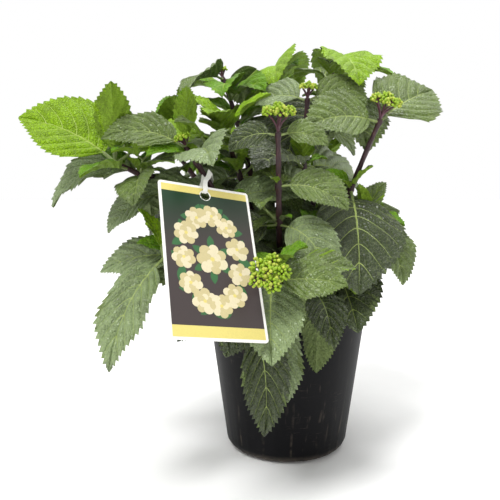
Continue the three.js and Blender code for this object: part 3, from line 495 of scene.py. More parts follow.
def place(leaf, owner, standing):
    for size in SIZES:
        for lift in LIFTS:
            for turn in TURNS:
                moved = settled(leaf, lift, turn, size)
                body = bare_leaf(moved)
                if not meets_pot(body) and standing.is_clear(body, owner):
                    standing.add(leaf_skin(moved), owner)
                    return moved
    return None


def placed(wanted, shoot, standing):
    """The leaves that found a place clear of what stands."""
    settled_leaves = [place(leaf, shoot["name"], standing) for leaf in wanted]
    return [leaf for leaf in settled_leaves if leaf]


def nodes_of(shoot):
    """The shares of a cane where its pairs of leaves stand, from the tip down."""
    top = TOP_NODE - shoot["drop"]
    steps = max(1, shoot["pairs"] - 2)
    lower = [top - (top - shoot["low"]) * (step / steps) for step in range(shoot["pairs"] - 1)]
    return [TOP_NODE, *lower]


def corners_of(shoot):
    return [(node, pair, side) for pair, node in enumerate(nodes_of(shoot)) for side in (0, 1)]


def set_apart(leaf, own):
    """A leaf that the table sets apart from its shoot's rule, with what it adds or multiplies."""
    return {
        **leaf,
        "heading": leaf["heading"] + own.get("turn", 0) * DEGREE,
        "lift": leaf["lift"] + own.get("lift", 0) * DEGREE,
        "hang": leaf["hang"] + own.get("hang", 0) * DEGREE,
        "twist": leaf["twist"] + own.get("twist", 0),
        "length": leaf["length"] * own.get("long", 1),
        "wide": leaf["wide"] * own.get("wide", 1),
    }


def leaves_of(shoot, index, line):
    wanted = []
    for count, (node, pair, side) in enumerate(corners_of(shoot)):
        key = key_of("leaf", index, pair, side)
        size = shoot["top"] if pair == 0 else LOWER_PAIRS["size"] - LOWER_PAIRS["shrink"] * pair
        fade = 0 if pair == 0 else shoot["fade"]
        lift = shoot["lift"] - fade - LOWER_PAIRS["droop"] * max(0, pair - 1)
        turn = shoot["turn"] + pair * 90 + side * 180
        leaf = leaf_from(frame_on(line, node), turn, shoot["leaf"] * size, shoot, key, lift)
        if count not in shoot.get("lost", ()):
            wanted.append({**set_apart(leaf, shoot.get("own", {}).get(count, {})), "pair": pair})
    for side in (0, 1) if shoot.get("young") else ():
        key = key_of("young", index, 0, side)
        turn = shoot["turn"] + 90 + side * 180
        long = shoot["leaf"] * shoot["young"]
        leaf = leaf_from(frame_on(line, YOUNG_NODE), turn, long, shoot, key, YOUNG["lift"])
        wanted.append({**leaf, "hang": YOUNG["hang"] * DEGREE, "wide": leaf["wide"] * YOUNG["breadth"],
                       "small": True, "pair": 0})
    return wanted


def twigs_of(shoot, index, line):
    twigs = []
    for node, pair, side in corners_of(shoot):
        key = key_of("twig", index, pair, side)
        turn = shoot["turn"] + pair * 90 + side * 180 + TWIG["turn"]
        start = leaf_from(frame_on(line, node), turn, TWIG["leaf"], shoot, key, TWIG["lift"])
        long = TWIG["length"] * (1 + sway(key, 6, 0.25))
        level = math.cos(start["lift"]) * long
        ahead, aside = math.cos(start["heading"]), math.sin(start["heading"])
        way = [ahead * level, aside * level, math.sin(start["lift"]) * long]
        if pair > 0 and draw(key, 9) < TWIG["chance"]:
            twigs.append({**start, "end": start["root"] + np.array(way)})
    return twigs


def twig_leaves(twig):
    key = twig["key"]
    return [{
        **twig,
        "root": twig["end"],
        "heading": twig["heading"] + (side * TWIG_LEAF["turn"] + sway(key, 10 + side, 15)) * DEGREE,
        "lift": (TWIG_LEAF["lift"] + sway(key, 12 + side, 12)) * DEGREE,
        "twist": sway(key, 14 + side, 20),
        "length": TWIG["leaf"] * (1 + sway(key, 16 + side, 0.2)),
        "wide": twig["wide"] * TWIG_LEAF["breadth"],
        "small": True,
        "pair": 1,
    } for side in (-1, 1)]


def sprigs_of(shoot, index, line):
    """The finest growth, which the solids leave out: small leaves in the corners of the lower pairs, and
    larger ones halfway up the top stretch of a cane where that stretch is short."""
    nodes = nodes_of(shoot)
    places = [(node, pair, 0) for pair, node in enumerate(nodes) if pair > 0]
    if shoot["drop"] < SPRIG["short"]:
        places.append(((nodes[0] + nodes[1]) / 2, 0, SPRIG["larger"]))
    sprigs = []
    for node, pair, larger in places:
        for side in (0, 1):
            for way in (-1, 1):
                key = key_of("sprig", index, pair, side) + way
                turn = shoot["turn"] + pair * 90 + side * 180 + way * SPRIG["turn"] + sway(key, 7, 20)
                long = (SPRIG["leaf"] + way * SPRIG["grow"] + larger) * (1 + sway(key, 8, 0.3))
                long *= shoot.get("fine", 1)
                leaf = leaf_from(frame_on(line, node), turn, long, shoot, key, SPRIG["lift"] - larger)
                if draw(key, 9) < SPRIG["chance"]:
                    sprigs.append({**leaf, "wide": SPRIG["breadth"], "small": True, "pair": max(pair, 1)})
    return sprigs


def bud_centres(line, size):
    tip = frame_on(line, 1)
    lean = unit(tip["along"] * 0.6 + UP * 0.4)
    ring = ring_across(tip["at"] + lean * BUD_HEAD["stalk"] * BUD_HEAD["rise"] * size, lean)
    centres = [tip["at"] + lean * BUD_HEAD["stalk"] * size]
    for i in range(BUD_HEAD["outer"]):
        angle = i / BUD_HEAD["outer"] * FULL_TURN
        spread = BUD_HEAD["spread"] * size
        centres.append(offset(ring, math.cos(angle) * spread, math.sin(angle) * spread))
    return centres, lean


def bud_skin(line, size):
    middle = point_on(line, 1) * 0.1 + bud_centres(line, size)[0][0] * 0.9
    reach = (BUD_HEAD["spread"] + BUD_HEAD["lump"]) * size
    return round_skin(rod_rings(middle - UP * 8 * size, middle + UP * 8 * size, reach, reach), 6, 0)


CARD_PLACE = (Matrix.Translation(CARD_POSE["centre"])
              @ Matrix.Rotation(CARD_POSE["yaw"] * DEGREE, 4, "Z")
              @ Matrix.Rotation((90 - CARD_POSE["pitch"]) * DEGREE, 4, "X")
              @ Matrix.Rotation(-CARD_POSE["roll"] * DEGREE, 4, "Z"))


def on_card(x, y, z):
    """A point of the card's own frame, x across it, y up it and z out of its face."""
    return np.array(CARD_PLACE @ Vector((x, y, z)))


def card_skin():
    x, y, z = (CARD["width"] + CARD_KEEP) / 2, (CARD["height"] + CARD_KEEP) / 2, CARD_KEEP
    sheets = [[[on_card(u, v, side) for u in (-x, x)] for v in (-y, y)] for side in (-z, z)]
    round_edge = ((-x, -y), (x, -y), (x, y), (-x, y), (-x, -y))
    edge = [[on_card(u, v, side) for side in (-z, z)] for u, v in round_edge]
    return np.concatenate([triangles_of(rows) for rows in (*sheets, edge)])


def strap_skin(line):
    cane = frame_on(line, STRAP["share"])["at"]
    way = on_card(0, CARD["height"] / 2 - CARD["hole_down"], 0) - cane
    rings = [{**ring_across(cane + way * t + UP * STRAP["bow"] * math.sin(t * math.pi), unit(way)),
              "radius": STRAP["skin"]} for t in (0, 0.25, 0.5, 0.75, 1)]
    return round_skin(rings, 6, 0)


def bough_end(shoot):
    """The share of a cane where its bough ends and its mass begins."""
    return nodes_of(shoot)[-1] - BARE_FOOT


@functools.cache
def grown():
    """Every shoot with its line, its settled leaves and its twigs, in the part's order."""
    standing = Standing()
    lines = {shoot["name"]: cane_line(shoot) for shoot in SHOOTS}
    for shoot in SHOOTS:
        name = shoot["name"]
        line = lines[name]
        standing.add(round_skin(cane_rings(line, 0, 1, 8), 5, LIMB_SKIN), name, True)
        standing.add(round_skin(cane_rings(line, 0, bough_end(shoot), 4), 5, LIMB_SKIN), name)
        if shoot.get("buds"):
            standing.add(bud_skin(line, shoot["buds"]), name)
    standing.add(card_skin(), "label")
    standing.add(strap_skin(lines[STRAP["cane"]]), "label")
    plants = []
    for index, shoot in enumerate(SHOOTS):
        line = lines[shoot["name"]]
        leaves = placed(leaves_of(shoot, index, line), shoot, standing)
        plants.append({"shoot": shoot, "line": line, "leaves": leaves, "twigs": []})
    for index, plant in enumerate(plants):
        shoot = plant["shoot"]
        for twig in twigs_of(shoot, index, plant["line"]):
            middle = (twig["root"] + twig["end"]) / 2
            body = round_skin(rod_rings(middle, twig["end"], TWIG["skin"], TWIG["skin"]), 3, 0)
            if not standing.is_clear(body, shoot["name"]):
                continue
            leaves = placed(twig_leaves(twig), shoot, standing)
            if leaves:
                standing.add(body, shoot["name"], True)
                plant["twigs"].append(twig)
                plant["leaves"] += leaves
    for index, plant in enumerate(plants):
        shoot = plant["shoot"]
        plant["leaves"] += placed(sprigs_of(shoot, index, plant["line"]), shoot, standing)
    return plants


# Meshes are made of parts: points in millimetres, faces, and the place of each face's finish in the list

def loft(rings, finish=0):
    """A closed tube through rings of points that turn against the way they follow, with capped ends."""
    count, sides = rings.shape[:2]
    corner = np.arange(count * sides).reshape(count, sides)
    after = np.roll(corner, -1, axis=1)
    walls = np.stack([corner[:-1], corner[1:], after[1:], after[:-1]], -1).reshape(-1, 4).tolist()
    faces = [*walls, corner[0].tolist(), corner[-1][::-1].tolist()]
    return rings.reshape(-1, 3), faces, [finish] * len(faces)


def round_rings(rings, sides, relief=None):
    """Points round each ring. relief gives a share to add to the radius, by the ring's number and angles."""
    angles = np.arange(sides) / sides * FULL_TURN
    made = []
    for number, ring in enumerate(rings):
        radius = ring["radius"] * (1 + (relief(number, angles) if relief else 0 * angles))
        made.append(ring["at"] + np.outer(np.cos(angles) * radius, ring["across"])
                    + np.outer(np.sin(angles) * radius * ring.get("flat", 1), ring["up"]))
    return np.array(made)


def add_piece(name, parts, materials, nodes=(), crease=40):
    """One object of many closed parts, which rides on the root and can replace nodes of the part."""
    points = np.concatenate([part[0] for part in parts]) * MM
    faces, finishes, start = [], [], 0
    for vertices, part_faces, part_finishes in parts:
        faces += [[corner + start for corner in face] for face in part_faces]
        finishes += part_finishes
        start += len(vertices)
    mesh = bpy.data.meshes.new(name)
    mesh.from_pydata(points.tolist(), [], faces)
    for material in materials:
        mesh.materials.append(material)
    mesh.polygons.foreach_set("material_index", finishes)
    mesh.polygons.foreach_set("use_smooth", [True] * len(faces))
    mesh.set_sharp_from_angle(angle=crease * DEGREE)
    mesh.validate()
    piece = bpy.data.objects.new(name, mesh)
    bpy.context.scene.collection.objects.link(piece)
    return keep(piece, nodes)


def keep(piece, nodes=()):
    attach(piece, "root")
    if nodes:
        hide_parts(*nodes)
    return piece


# Materials, all on Object coordinates. A scale says how many spots lie along a metre, and the depths of
# relief are in metres

BLADE = {"mottle": 38, "grain": 420, "net": 300, "wrinkles": 130, "depth": 0.0008}
BARK = {"grain": 420, "spots": 230, "patches": 60, "stretch": (1, 1, 0.22), "depth": 0.0005}
PLASTIC = {"scratches": 55, "runs": 34, "patches": 14, "wander": 9, "broken": 60, "dust": 90, "grain": 380,
           "across": (1, 1, 12), "down": (5, 5, 0.3), "depth": 0.0002}
CRUMBS = {"lumps": 260, "depth": 0.002}
PAPER = {"fleck": 900, "waves": 60, "depth": 0.0004}
VEIN_FLECK = 260
FLOOR_FLECK = 30


def new_material(name, roughness, **sockets):
    material = bpy.data.materials.new(name)
    material.use_nodes = True
    shader = material.node_tree.nodes["Principled BSDF"]
    shader.inputs["Roughness"].default_value = roughness
    for socket, value in sockets.items():
        shader.inputs[socket.replace("_", " ").title().replace("Ior", "IOR")].default_value = value
    return material, material.node_tree, shader


def add_node(tree, kind, links=None, **values):
    """A node with its values set, and its sockets linked from others."""
    node = tree.nodes.new(kind)
    for name, value in values.items():
        if hasattr(node, name):
            setattr(node, name, value)
        else:
            node.inputs[name.replace("_", " ")].default_value = value
    for name, source in (links or {}).items():
        tree.links.new(source, node.inputs[name])
    return node


def on_object(tree, scale=(1, 1, 1)):
    coordinates = add_node(tree, "ShaderNodeTexCoord").outputs["Object"]
    return add_node(tree, "ShaderNodeMapping", {"Vector": coordinates}, Scale=scale).outputs[0]


def noise(tree, where, scale, detail=3.0, roughness=0.55):
    return add_node(tree, "ShaderNodeTexNoise", {"Vector": where}, Scale=scale, Detail=detail,
                    Roughness=roughness).outputs["Fac"]


def ramp(tree, factor, stops):
    """A colour or grey that follows a factor through its stops."""
    node = add_node(tree, "ShaderNodeValToRGB", {"Fac": factor})
    elements = node.color_ramp.elements
    while len(elements) < len(stops):
        elements.new(0.5)
    for element, (position, shade) in zip(elements, stops):
        element.position = position
        element.color = (*shade, 1) if isinstance(shade, tuple) else (shade, shade, shade, 1)
    return node.outputs["Color"]


def colour_by(tree, shader, factor, stops):
    """Let the shader's colour follow a factor through its stops."""
    tree.links.new(ramp(tree, factor, stops), shader.inputs["Base Color"])


def bump(tree, shader, height, distance, strength=1.0):
    node = add_node(tree, "ShaderNodeBump", {"Height": height}, Distance=distance, Strength=strength)
    tree.links.new(node.outputs["Normal"], shader.inputs["Normal"])


def mix_colours(tree, factor, one, other):
    """A blend of two colours, each a socket or a fixed colour."""
    node = add_node(tree, "ShaderNodeMix", {"Factor": factor}, data_type="RGBA")
    for socket, source in zip((node.inputs[6], node.inputs[7]), (one, other)):
        if isinstance(source, tuple):
            socket.default_value = (*source, 1)
        else:
            tree.links.new(source, socket)
    return node.outputs[2]


def combine(tree, operation, one, other):
    """The sum, product or other outcome of two sockets, or of a socket and a number."""
    node = add_node(tree, "ShaderNodeMath", {0: one}, operation=operation)
    if isinstance(other, (int, float)):
        node.inputs[1].default_value = other
    else:
        tree.links.new(other, node.inputs[1])
    return node.outputs[0]


def shade(base, share):
    return tuple(min(1.0, value * share) for value in base)


def blade_material(name, base, line, roughness=0.4, gloss=0.5, relief=0.9):
    """A leaf blade: mottled green, wrinkled, with a net of fine pale veins pressed into it."""
    material, tree, shader = new_material(name, roughness, specular_ior_level=gloss, sheen_weight=0.05)
    where = on_object(tree)
    patches, grain = [noise(tree, where, BLADE[scale], 2) for scale in ("mottle", "grain")]
    mottle = combine(tree, "ADD", patches, grain)
    green = ramp(tree, mottle, [(0.72, shade(base, 0.74)), (1.0, base), (1.28, shade(base, 1.2))])
    net = add_node(tree, "ShaderNodeTexVoronoi", {"Vector": where}, feature="DISTANCE_TO_EDGE",
                   Scale=BLADE["net"]).outputs["Distance"]
    lines = ramp(tree, net, [(0.0, 0.2), (0.09, 0.0)])
    tree.links.new(mix_colours(tree, lines, green, line), shader.inputs["Base Color"])
    pillows = ramp(tree, net, [(0.0, 0.0), (0.22, 1.0)])
    wrinkles = combine(tree, "MULTIPLY", noise(tree, where, BLADE["wrinkles"], 2), 2.5)
    bump(tree, shader, combine(tree, "ADD", pillows, wrinkles), BLADE["depth"], relief)
    return material


def vein_material(name, base):
    material, tree, shader = new_material(name, 0.5)
    fleck = noise(tree, on_object(tree), VEIN_FLECK, 2)
    colour_by(tree, shader, fleck, [(0.3, shade(base, 0.8)), (0.7, shade(base, 1.12))])
    return material


def bark_material(name, base, light, roughness=0.5):
    """Smooth bark with small corky spots and fine upright grain."""
    material, tree, shader = new_material(name, roughness)
    where = on_object(tree)
    along = on_object(tree, BARK["stretch"])
    streaks = noise(tree, along, BARK["grain"], 3)
    spots = add_node(tree, "ShaderNodeTexVoronoi", {"Vector": along}, Scale=BARK["spots"]).outputs["Distance"]
    body = ramp(tree, streaks, [(0.34, shade(base, 0.7)), (0.56, base), (0.76, light)])
    dots = ramp(tree, spots, [(0.08, 1.0), (0.16, 0.0)])
    patch = ramp(tree, noise(tree, where, BARK["patches"], 2), [(0.46, 0.0), (0.58, 1.0)])
    spotted = mix_colours(tree, combine(tree, "MULTIPLY", dots, patch), body, shade(light, 1.5))
    tree.links.new(spotted, shader.inputs["Base Color"])
    bump(tree, shader, streaks, BARK["depth"], 0.6)
    return material


@functools.cache
def leaf_materials():
    """The finishes of the leaf pieces, in the order of their places."""
    colours = bpy.context.scene.shrub_leaf
    greens = [tuple(getattr(colours, name)) for name in ("deep", "middle", "grey", "fresh", "lime")]
    names = ("deep_green_leaf", "middle_green_leaf", "grey_green_leaf", "fresh_green_leaf", "lime_leaf")
    vein, lime_vein = tuple(colours.vein), tuple(colours.lime_vein)
    # Grey green leaves get a paler net of veins, as part of their painted sheen
    lines = (vein, vein, shade(vein, 1.25), lime_vein, lime_vein)
    old, young = (0.4, 0.65, 0.85), (0.48, 0.25, 0.9)
    finishes = (old, old, old, young, young)
    blades = [blade_material(*values, *finish) for *values, finish in zip(names, greens, lines, finishes)]
    return [*blades, vein_material("old_leaf_vein", vein), vein_material("young_leaf_vein", lime_vein),
            blade_material("old_leaf_underside", tuple(colours.under), vein, 0.62, 0.3),
            blade_material("young_leaf_underside", tuple(colours.lime_under), lime_vein, 0.6, 0.25, 0.5)]


SHADED_DEEP, LIT_MIDDLE, SHEEN_GREY, FRESH, LIME, VEIN, LIME_VEIN, UNDER, LIME_UNDER = range(9)


# The fine leaf. Its rows run along the side veins, so that veins, quilting and teeth all fall on them

LARGE_LEAF = {"start": (0.12, 0.3, 0.5, 0.75), "first": 0.1, "step": 0.14, "veins": 6,
              "between": (0.1, 0.3, 0.5, 0.6, 0.8), "strip": 0.005,
              "columns": (0.024, 0.12, 0.28, 0.5, 0.72, 0.9, 1), "under": (0.72, 0.3)}
SMALL_LEAF = {"start": (0.2, 0.6), "first": 0.14, "step": 0.2, "veins": 4, "between": (0.2, 0.5, 0.7),
              "strip": 0.009, "columns": (0.04, 0.3, 0.68, 1), "under": (0.5,)}
LAST_ROW = 0.988
BLADE_PART, VEIN_PART, UNDER_PART = range(3)

# How rows arch from the midrib out to the margin, how the margin and its teeth run, and the blade's folds
ARCH = {"root": 1.6, "margin": 0.56, "bend": 1.4}
TOOTH = {"peak": 0.8, "band": 0.15, "forward": 0.016, "small": 1.3}
TIP = {"slim": 0.3, "from": 0.65}
SMALL_FOLD = 1.7
MIDRIB = 0.05
MIDRIB_DEPTH = 0.4
BOW = 0.05


@functools.cache
def leaf_pattern(small):
    """Shares of a leaf for every point of its rings, and its faces: the same for every leaf of a kind."""
    kind = SMALL_LEAF if small else LARGE_LEAF
    first, step = kind["first"], kind["step"]
    rows = [(share * first, 0) for share in kind["start"]]
    for vein in range(kind["veins"]):
        rows += [(first + vein * step, -1), (first + vein * step, 1)]
        rows += [(first + (vein + share) * step, 0) for share in kind["between"]]
    rows.append((LAST_ROW, 0))
    top = [*[-u for u in kind["columns"][::-1]], *kind["columns"]]
    under = [*kind["under"], 0, *[-u for u in kind["under"][::-1]]]
    across = np.array(top + under)[None]
    below = np.array([0] * len(top) + [1] * len(under))[None]
    reach = np.abs(across)
    row_place = np.array([row[0] for row in rows])[:, None]
    on_vein = np.array([row[1] for row in rows])[:, None]
    share = row_place + on_vein * kind["strip"] * (1 - 0.85 * reach)
    phase = (share - first) / step
    tooth = (phase * 2 + TOOTH["peak"]) % 1
    tooth = np.where(tooth < TOOTH["peak"], tooth / TOOTH["peak"], (1 - tooth) / 0.2)
    quilt = np.abs(np.sin(phase * math.pi)) ** 0.8 * np.minimum(1, 0.2 + reach * 3) * (1 - 0.6 * reach ** 6)
    ridge = np.where(reach < MIDRIB, 1.0, 0.0) + (on_vein != 0) * 0.45 * (1 - reach)
    count, sides = share.shape
    corner = 1 + np.arange(count * sides).reshape(count, sides)
    after = np.roll(corner, -1, axis=1)
    walls = np.stack([corner[:-1], after[:-1], after[1:], corner[1:]], -1)
    last = count * sides + 1
    faces = [*walls.reshape(-1, 4).tolist(), *[[0, b, a] for a, b in zip(corner[0], after[0])],
             *[[last, a, b] for a, b in zip(corner[-1], after[-1])]]
    kinds = np.full((count - 1, sides), BLADE_PART)
    kinds[:, len(kind["columns"]) - 1] = VEIN_PART
    strips = (on_vein[:-1, 0] == -1) & (on_vein[1:, 0] == 1)
    kinds[strips, 1:len(top) - 2] = VEIN_PART
    kinds[:, len(top) - 1:] = UNDER_PART
    ends = [UNDER_PART if i >= len(top) - 1 else BLADE_PART for i in range(sides)]
    return {"across": across, "reach": reach, "share": share, "tooth": tooth, "quilt": quilt, "ridge": ridge,
            "below": below, "faces": [[int(c) for c in face] for face in faces],
            "kinds": kinds.ravel().tolist() + ends + ends}


def leaf_part(leaf, blade, vein, under):
    """One leaf as a closed mesh part, bent along its midrib, folded, waved, quilted and toothed.

    blade, vein and under are the places of its finishes.
    """
    look = bpy.context.scene.shrub_leaf
    pattern = leaf_pattern(leaf["small"])
    key, size = leaf["key"], leaf["length"]
    share, reach, across = pattern["share"], pattern["reach"], pattern["across"]
    root, margin = share ** ARCH["root"], share ** ARCH["margin"]
    edge = np.clip((reach - 0.85) / TOOTH["band"], 0, 1)
    toothed = np.clip(margin * 5 - 0.6, 0, 1) * np.clip((1 - margin) * 14, 0, 1)
    tooth = pattern["tooth"] * toothed * edge
    depth = look.tooth * size * (TOOTH["small"] if leaf["small"] else 1)
    along = np.clip(root + (margin - root) * reach ** ARCH["bend"] + tooth * TOOTH["forward"], 0, 1)
    slim = 1 - TIP["slim"] * np.clip((margin - TIP["from"]) / 0.35, 0, 1)
    teeth = np.sign(across) * depth * (tooth - 0.5 * toothed * edge)
    sideways = across * half_breadth(leaf, margin) * slim + teeth
    widest = leaf["wide"] * size / 2
    spread = np.abs(sideways) / widest
    wave = look.wave * size * (0.4 + 1.2 * draw(key, 30))
    other_side = (across < 0) * (1.5 + 2 * draw(key, 33))
    phase = FULL_TURN * (draw(key, 31) + along * (1.6 + draw(key, 32))) + other_side
    fold = FOLD * (SMALL_FOLD if leaf["small"] else 0.8 + 0.5 * draw(key, 34))
    rise = (np.abs(sideways) * math.sin(fold) * (1 - 0.35 * spread) + wave * spread ** 2 * np.sin(phase)
            + look.quilt * size * pattern["quilt"] - MIDRIB_DEPTH * (reach < MIDRIB))
    thick = look.thickness / MM * min(1.0, 0.5 + size / 100)
    rise = rise - pattern["below"] * thick * (1 + 1.6 * pattern["ridge"])
    at, _, level, up = leaf_frame(leaf, along)
    bow = sway(key, 35, BOW) * size
    bent = sideways[..., None] * math.cos(fold) + bow * along[..., None] ** 2
    points = at + level * bent + up * rise[..., None]
    ends, _, end_level, _ = leaf_frame(leaf, np.array([0.0, 1.0]))
    tip = ends[1] + end_level[1] * bow
    points = np.concatenate([ends[:1], points.reshape(-1, 3), tip[None]])
    finishes = (blade, vein, under)
    return points, pattern["faces"], [finishes[kind] for kind in pattern["kinds"]]


def leaf_finish(leaf, shoot):
    """The finishes of a leaf, dealt out by its shoot, its pair and drawn numbers.

    Lime goes on the tips of shoots that say so and on some small top leaves, grey green, which paints a pale
    sheen, on the shoot's share, deep green, which paints shade, more often on the lower pairs, and middle
    green, which paints light, more often on the top pairs.
    """
    pick = draw(leaf["key"], 40)
    top = leaf["pair"] == 0
    if top and shoot.get("lime"):
        return (LIME if pick < 0.9 else FRESH), LIME_VEIN, LIME_UNDER
    if leaf["small"] and (top or leaf["pair"] == 1):
        return (LIME if top and pick < 0.4 else FRESH if pick < 0.65 else LIT_MIDDLE), LIME_VEIN, LIME_UNDER
    if leaf["small"]:
        return (FRESH if pick < 0.25 else LIT_MIDDLE), VEIN, UNDER
    # Grey green, painted sheen, on the shoot's share of old leaves
    if pick < shoot.get("grey", 0.15):
        return SHEEN_GREY, VEIN, UNDER
    # Middle green is painted light and deep green painted shade, and top pairs get the light more often
    return (LIT_MIDDLE if draw(leaf["key"], 41) < (0.75 if top else 0.4) else SHADED_DEEP), VEIN, UNDER


def stalk_part(leaf):
    """A leaf stalk, broad where it clasps the cane, with a thin end inside the blade."""
    start, end = leaf["root"], leaf["base"]
    along = unit(end - start)
    thick = 0.9 + 0.9 * min(1, leaf["length"] / 90)
    rings = []
    for share in (0, 0.2, 0.4, 0.6, 0.8, 1.0, 1.16):
        clasp = 1 + 0.5 * max(0, 1 - share * 2.5)
        taper = 0.45 if share > 1 else 1
        rings.append({**ring_across(start + (end - start) * share, along), "radius": thick * clasp * taper,
                      "flat": 0.8})
    return loft(round_rings(rings, 8))


# Canes

CANE_RINGS = {"apart": 3.5, "sides": 14}
NODE_REACH = 3.4


def cane_part(plant, first, last):
    """A stretch of a cane, swollen at its nodes, with shallow ridges."""
    shoot, line = plant["shoot"], plant["line"]
    span = float(np.linalg.norm(line[2] - line[0]))
    look = bpy.context.scene.shrub_wood
    nodes = nodes_of(shoot)
    count = max(6, int((last - first) * span / CANE_RINGS["apart"]))
    rings = cane_rings(line, first, last, count)

    def relief(step, angles):
        t = first + (last - first) * step / (count - 1)
        away = [(t - node) * span / NODE_REACH for node in nodes]
        swollen = sum(look.node_swell * math.exp(-distance ** 2) for distance in away)
        ridge = 0.035 * np.sin(angles * 5 + t * 9) + 0.02 * np.sin(angles * 9 + t * 31)
        return look.cane - 1 + swollen + ridge + 0.05 * math.sin(t * 47 + span)

    return loft(round_rings(rings, CANE_RINGS["sides"], relief))


def twig_part(twig):
    start, end = twig["root"], twig["end"]
    rings = [{**ring_across(start + (end - start) * share, unit(end - start)),
              "radius": TWIG["radius"] * (1.25 - 0.4 * share)} for share in (0, 0.25, 0.5, 0.75, 0.92, 1)]
    return loft(round_rings(rings, 8))


# Bud heads

GOLDEN_ANGLE = 2.39996
BUD_OUTLINE = ((-1.2, 0.35), (-0.6, 0.8), (0.2, 1.0), (0.85, 0.78), (1.3, 0.25))


def bud_lobes(number, angles):
    """Four shallow lobes, on all but the two lowest rings."""
    return 0.09 * np.cos(angles * 4) * (number > 1)


def bud_part(centre, outward, radius, finish):
    """A small round bud with four lobes meeting at its tip."""
    ring = ring_across(centre, outward)
    rings = [{**ring, "at": centre + outward * radius * height, "radius": radius * width}
             for height, width in BUD_OUTLINE]
    return loft(round_rings(rings, 8, bud_lobes), finish)


def curved_rod(start, way, end, radius_start, radius_end, sides=6, count=6):
    """A thin branchlet that leaves start along way and bends to end."""
    bend = start + way * float(np.linalg.norm(end - start)) * 0.5
    rings = [{**frame_on((start, bend, end), i / (count - 1)),
              "radius": radius_start + (radius_end - radius_start) * i / (count - 1)} for i in range(count)]
    return loft(round_rings(rings, sides))


def head_parts(plant, index):
    """The branchlets and the single buds of one head, spread over each of its clusters."""
    size = plant["shoot"]["buds"]
    wood = bpy.context.scene.shrub_wood
    centres, lean = bud_centres(plant["line"], size)
    start = point_on(plant["line"], TOP_NODE)
    radius = wood.bud / MM
    branchlets, buds = [], []
    lump = BUD_HEAD["lump"] * size
    count = max(7, round(wood.buds_in_cluster * size ** 1.5))
    for cluster, centre in enumerate(centres):
        branchlets.append(curved_rod(start, lean, centre - lean * lump * 0.5, 1.3, 0.9))
        outward = unit(lean * 1.5 + unit(centre - start))
        ring = ring_across(centre, outward)
        for i in range(count):
            key = index * KEY_STEP["shoot"] + cluster * KEY_STEP["cluster"] + i
            height = 1 - 1.35 * (i + 0.5) / count
            level = math.sqrt(max(0.0, 1 - height * height))
            angle = i * GOLDEN_ANGLE + sway(key, 50, 0.4)
            way = unit(ring["across"] * math.cos(angle) * level + ring["up"] * math.sin(angle) * level
                       + outward * height)
            spot = centre + way * lump * (1.0 + sway(key, 51, 0.16))
            small = radius * (0.95 + sway(key, 52, 0.2)) * (0.7 + 0.3 * min(1, size))
            buds.append(bud_part(spot, way, small, int(draw(key, 53) < 0.3)))
            if i % 2 == 0:
                fork = centre - outward * lump * 0.5
                branchlets.append(curved_rod(fork, outward, spot - way * small * 0.8, 0.5, 0.4, 4, 4))
    return branchlets, buds


def start_shape():
    """Object mode with nothing selected, before a primitive is added."""
    if bpy.context.mode != "OBJECT":
        bpy.ops.object.mode_set(mode="OBJECT")
    bpy.ops.object.select_all(action="DESELECT")


def end_shape(name, crease=32):
    """The finished primitive in object mode, named, with its place in its mesh and its shading set."""
    bpy.ops.object.mode_set(mode="OBJECT")
    piece = bpy.context.object
    piece.name = piece.data.name = name
    bpy.ops.object.transform_apply(location=True, rotation=True, scale=True)
    bpy.ops.object.shade_smooth_by_angle(angle=crease * DEGREE)
    return piece


def raise_rings(profile):
    """Extrude the selected disc through the (radius, height) points of a profile."""
    for (radius, height), (next_radius, next_height) in zip(profile, profile[1:]):
        bpy.ops.mesh.extrude_region_move(TRANSFORM_OT_translate={"value": (0, 0, next_height - height)})
        share = next_radius / radius
        bpy.ops.transform.resize(value=(share, share, 1), center_override=(0, 0, next_height))


def arc(centre_radius, centre_height, radius, first, last, count):
    """Points of a profile on a round stretch, by its angles from level."""
    angles = [(first + (last - first) * i / (count - 1)) * DEGREE for i in range(count)]
    return [(centre_radius + radius * math.cos(a), centre_height + radius * math.sin(a)) for a in angles]


# The pot's outline in metres, apart from the wall's shares and the ribs' sharpness, which is a power. The
# lip's points say how far in from the rim they lie, and how high over the lip's foot or how far under its
# top
ROUND_FOOT = 0.016
WALL_SHARES = (0.1, 0.25, 0.4, 0.55, 0.7, 0.85, 1)
LIP = 0.016
LIP_STEPS = ((0.0026, 0.0006), (0.002, 0.0014), (0.0019, 0.0062), (0.0006, 0.0072), (0, 0.008))
LIP_GROOVE = ((0, 0.0045), (0.0005, 0.0041), (0.0005, 0.0033), (0, 0.0028))
LIP_EDGE = 0.0012
LIP_BREADTH = 0.0035
RIB = {"height": 0.0004, "sharpness": 24, "bottom": 0.002, "full": 0.012, "top": 0.12}

# The outside is what lies this far past the foot's radius, low down and above a height
OUTSIDE = {"low": 0.004, "high": 0.012, "above": 0.02}


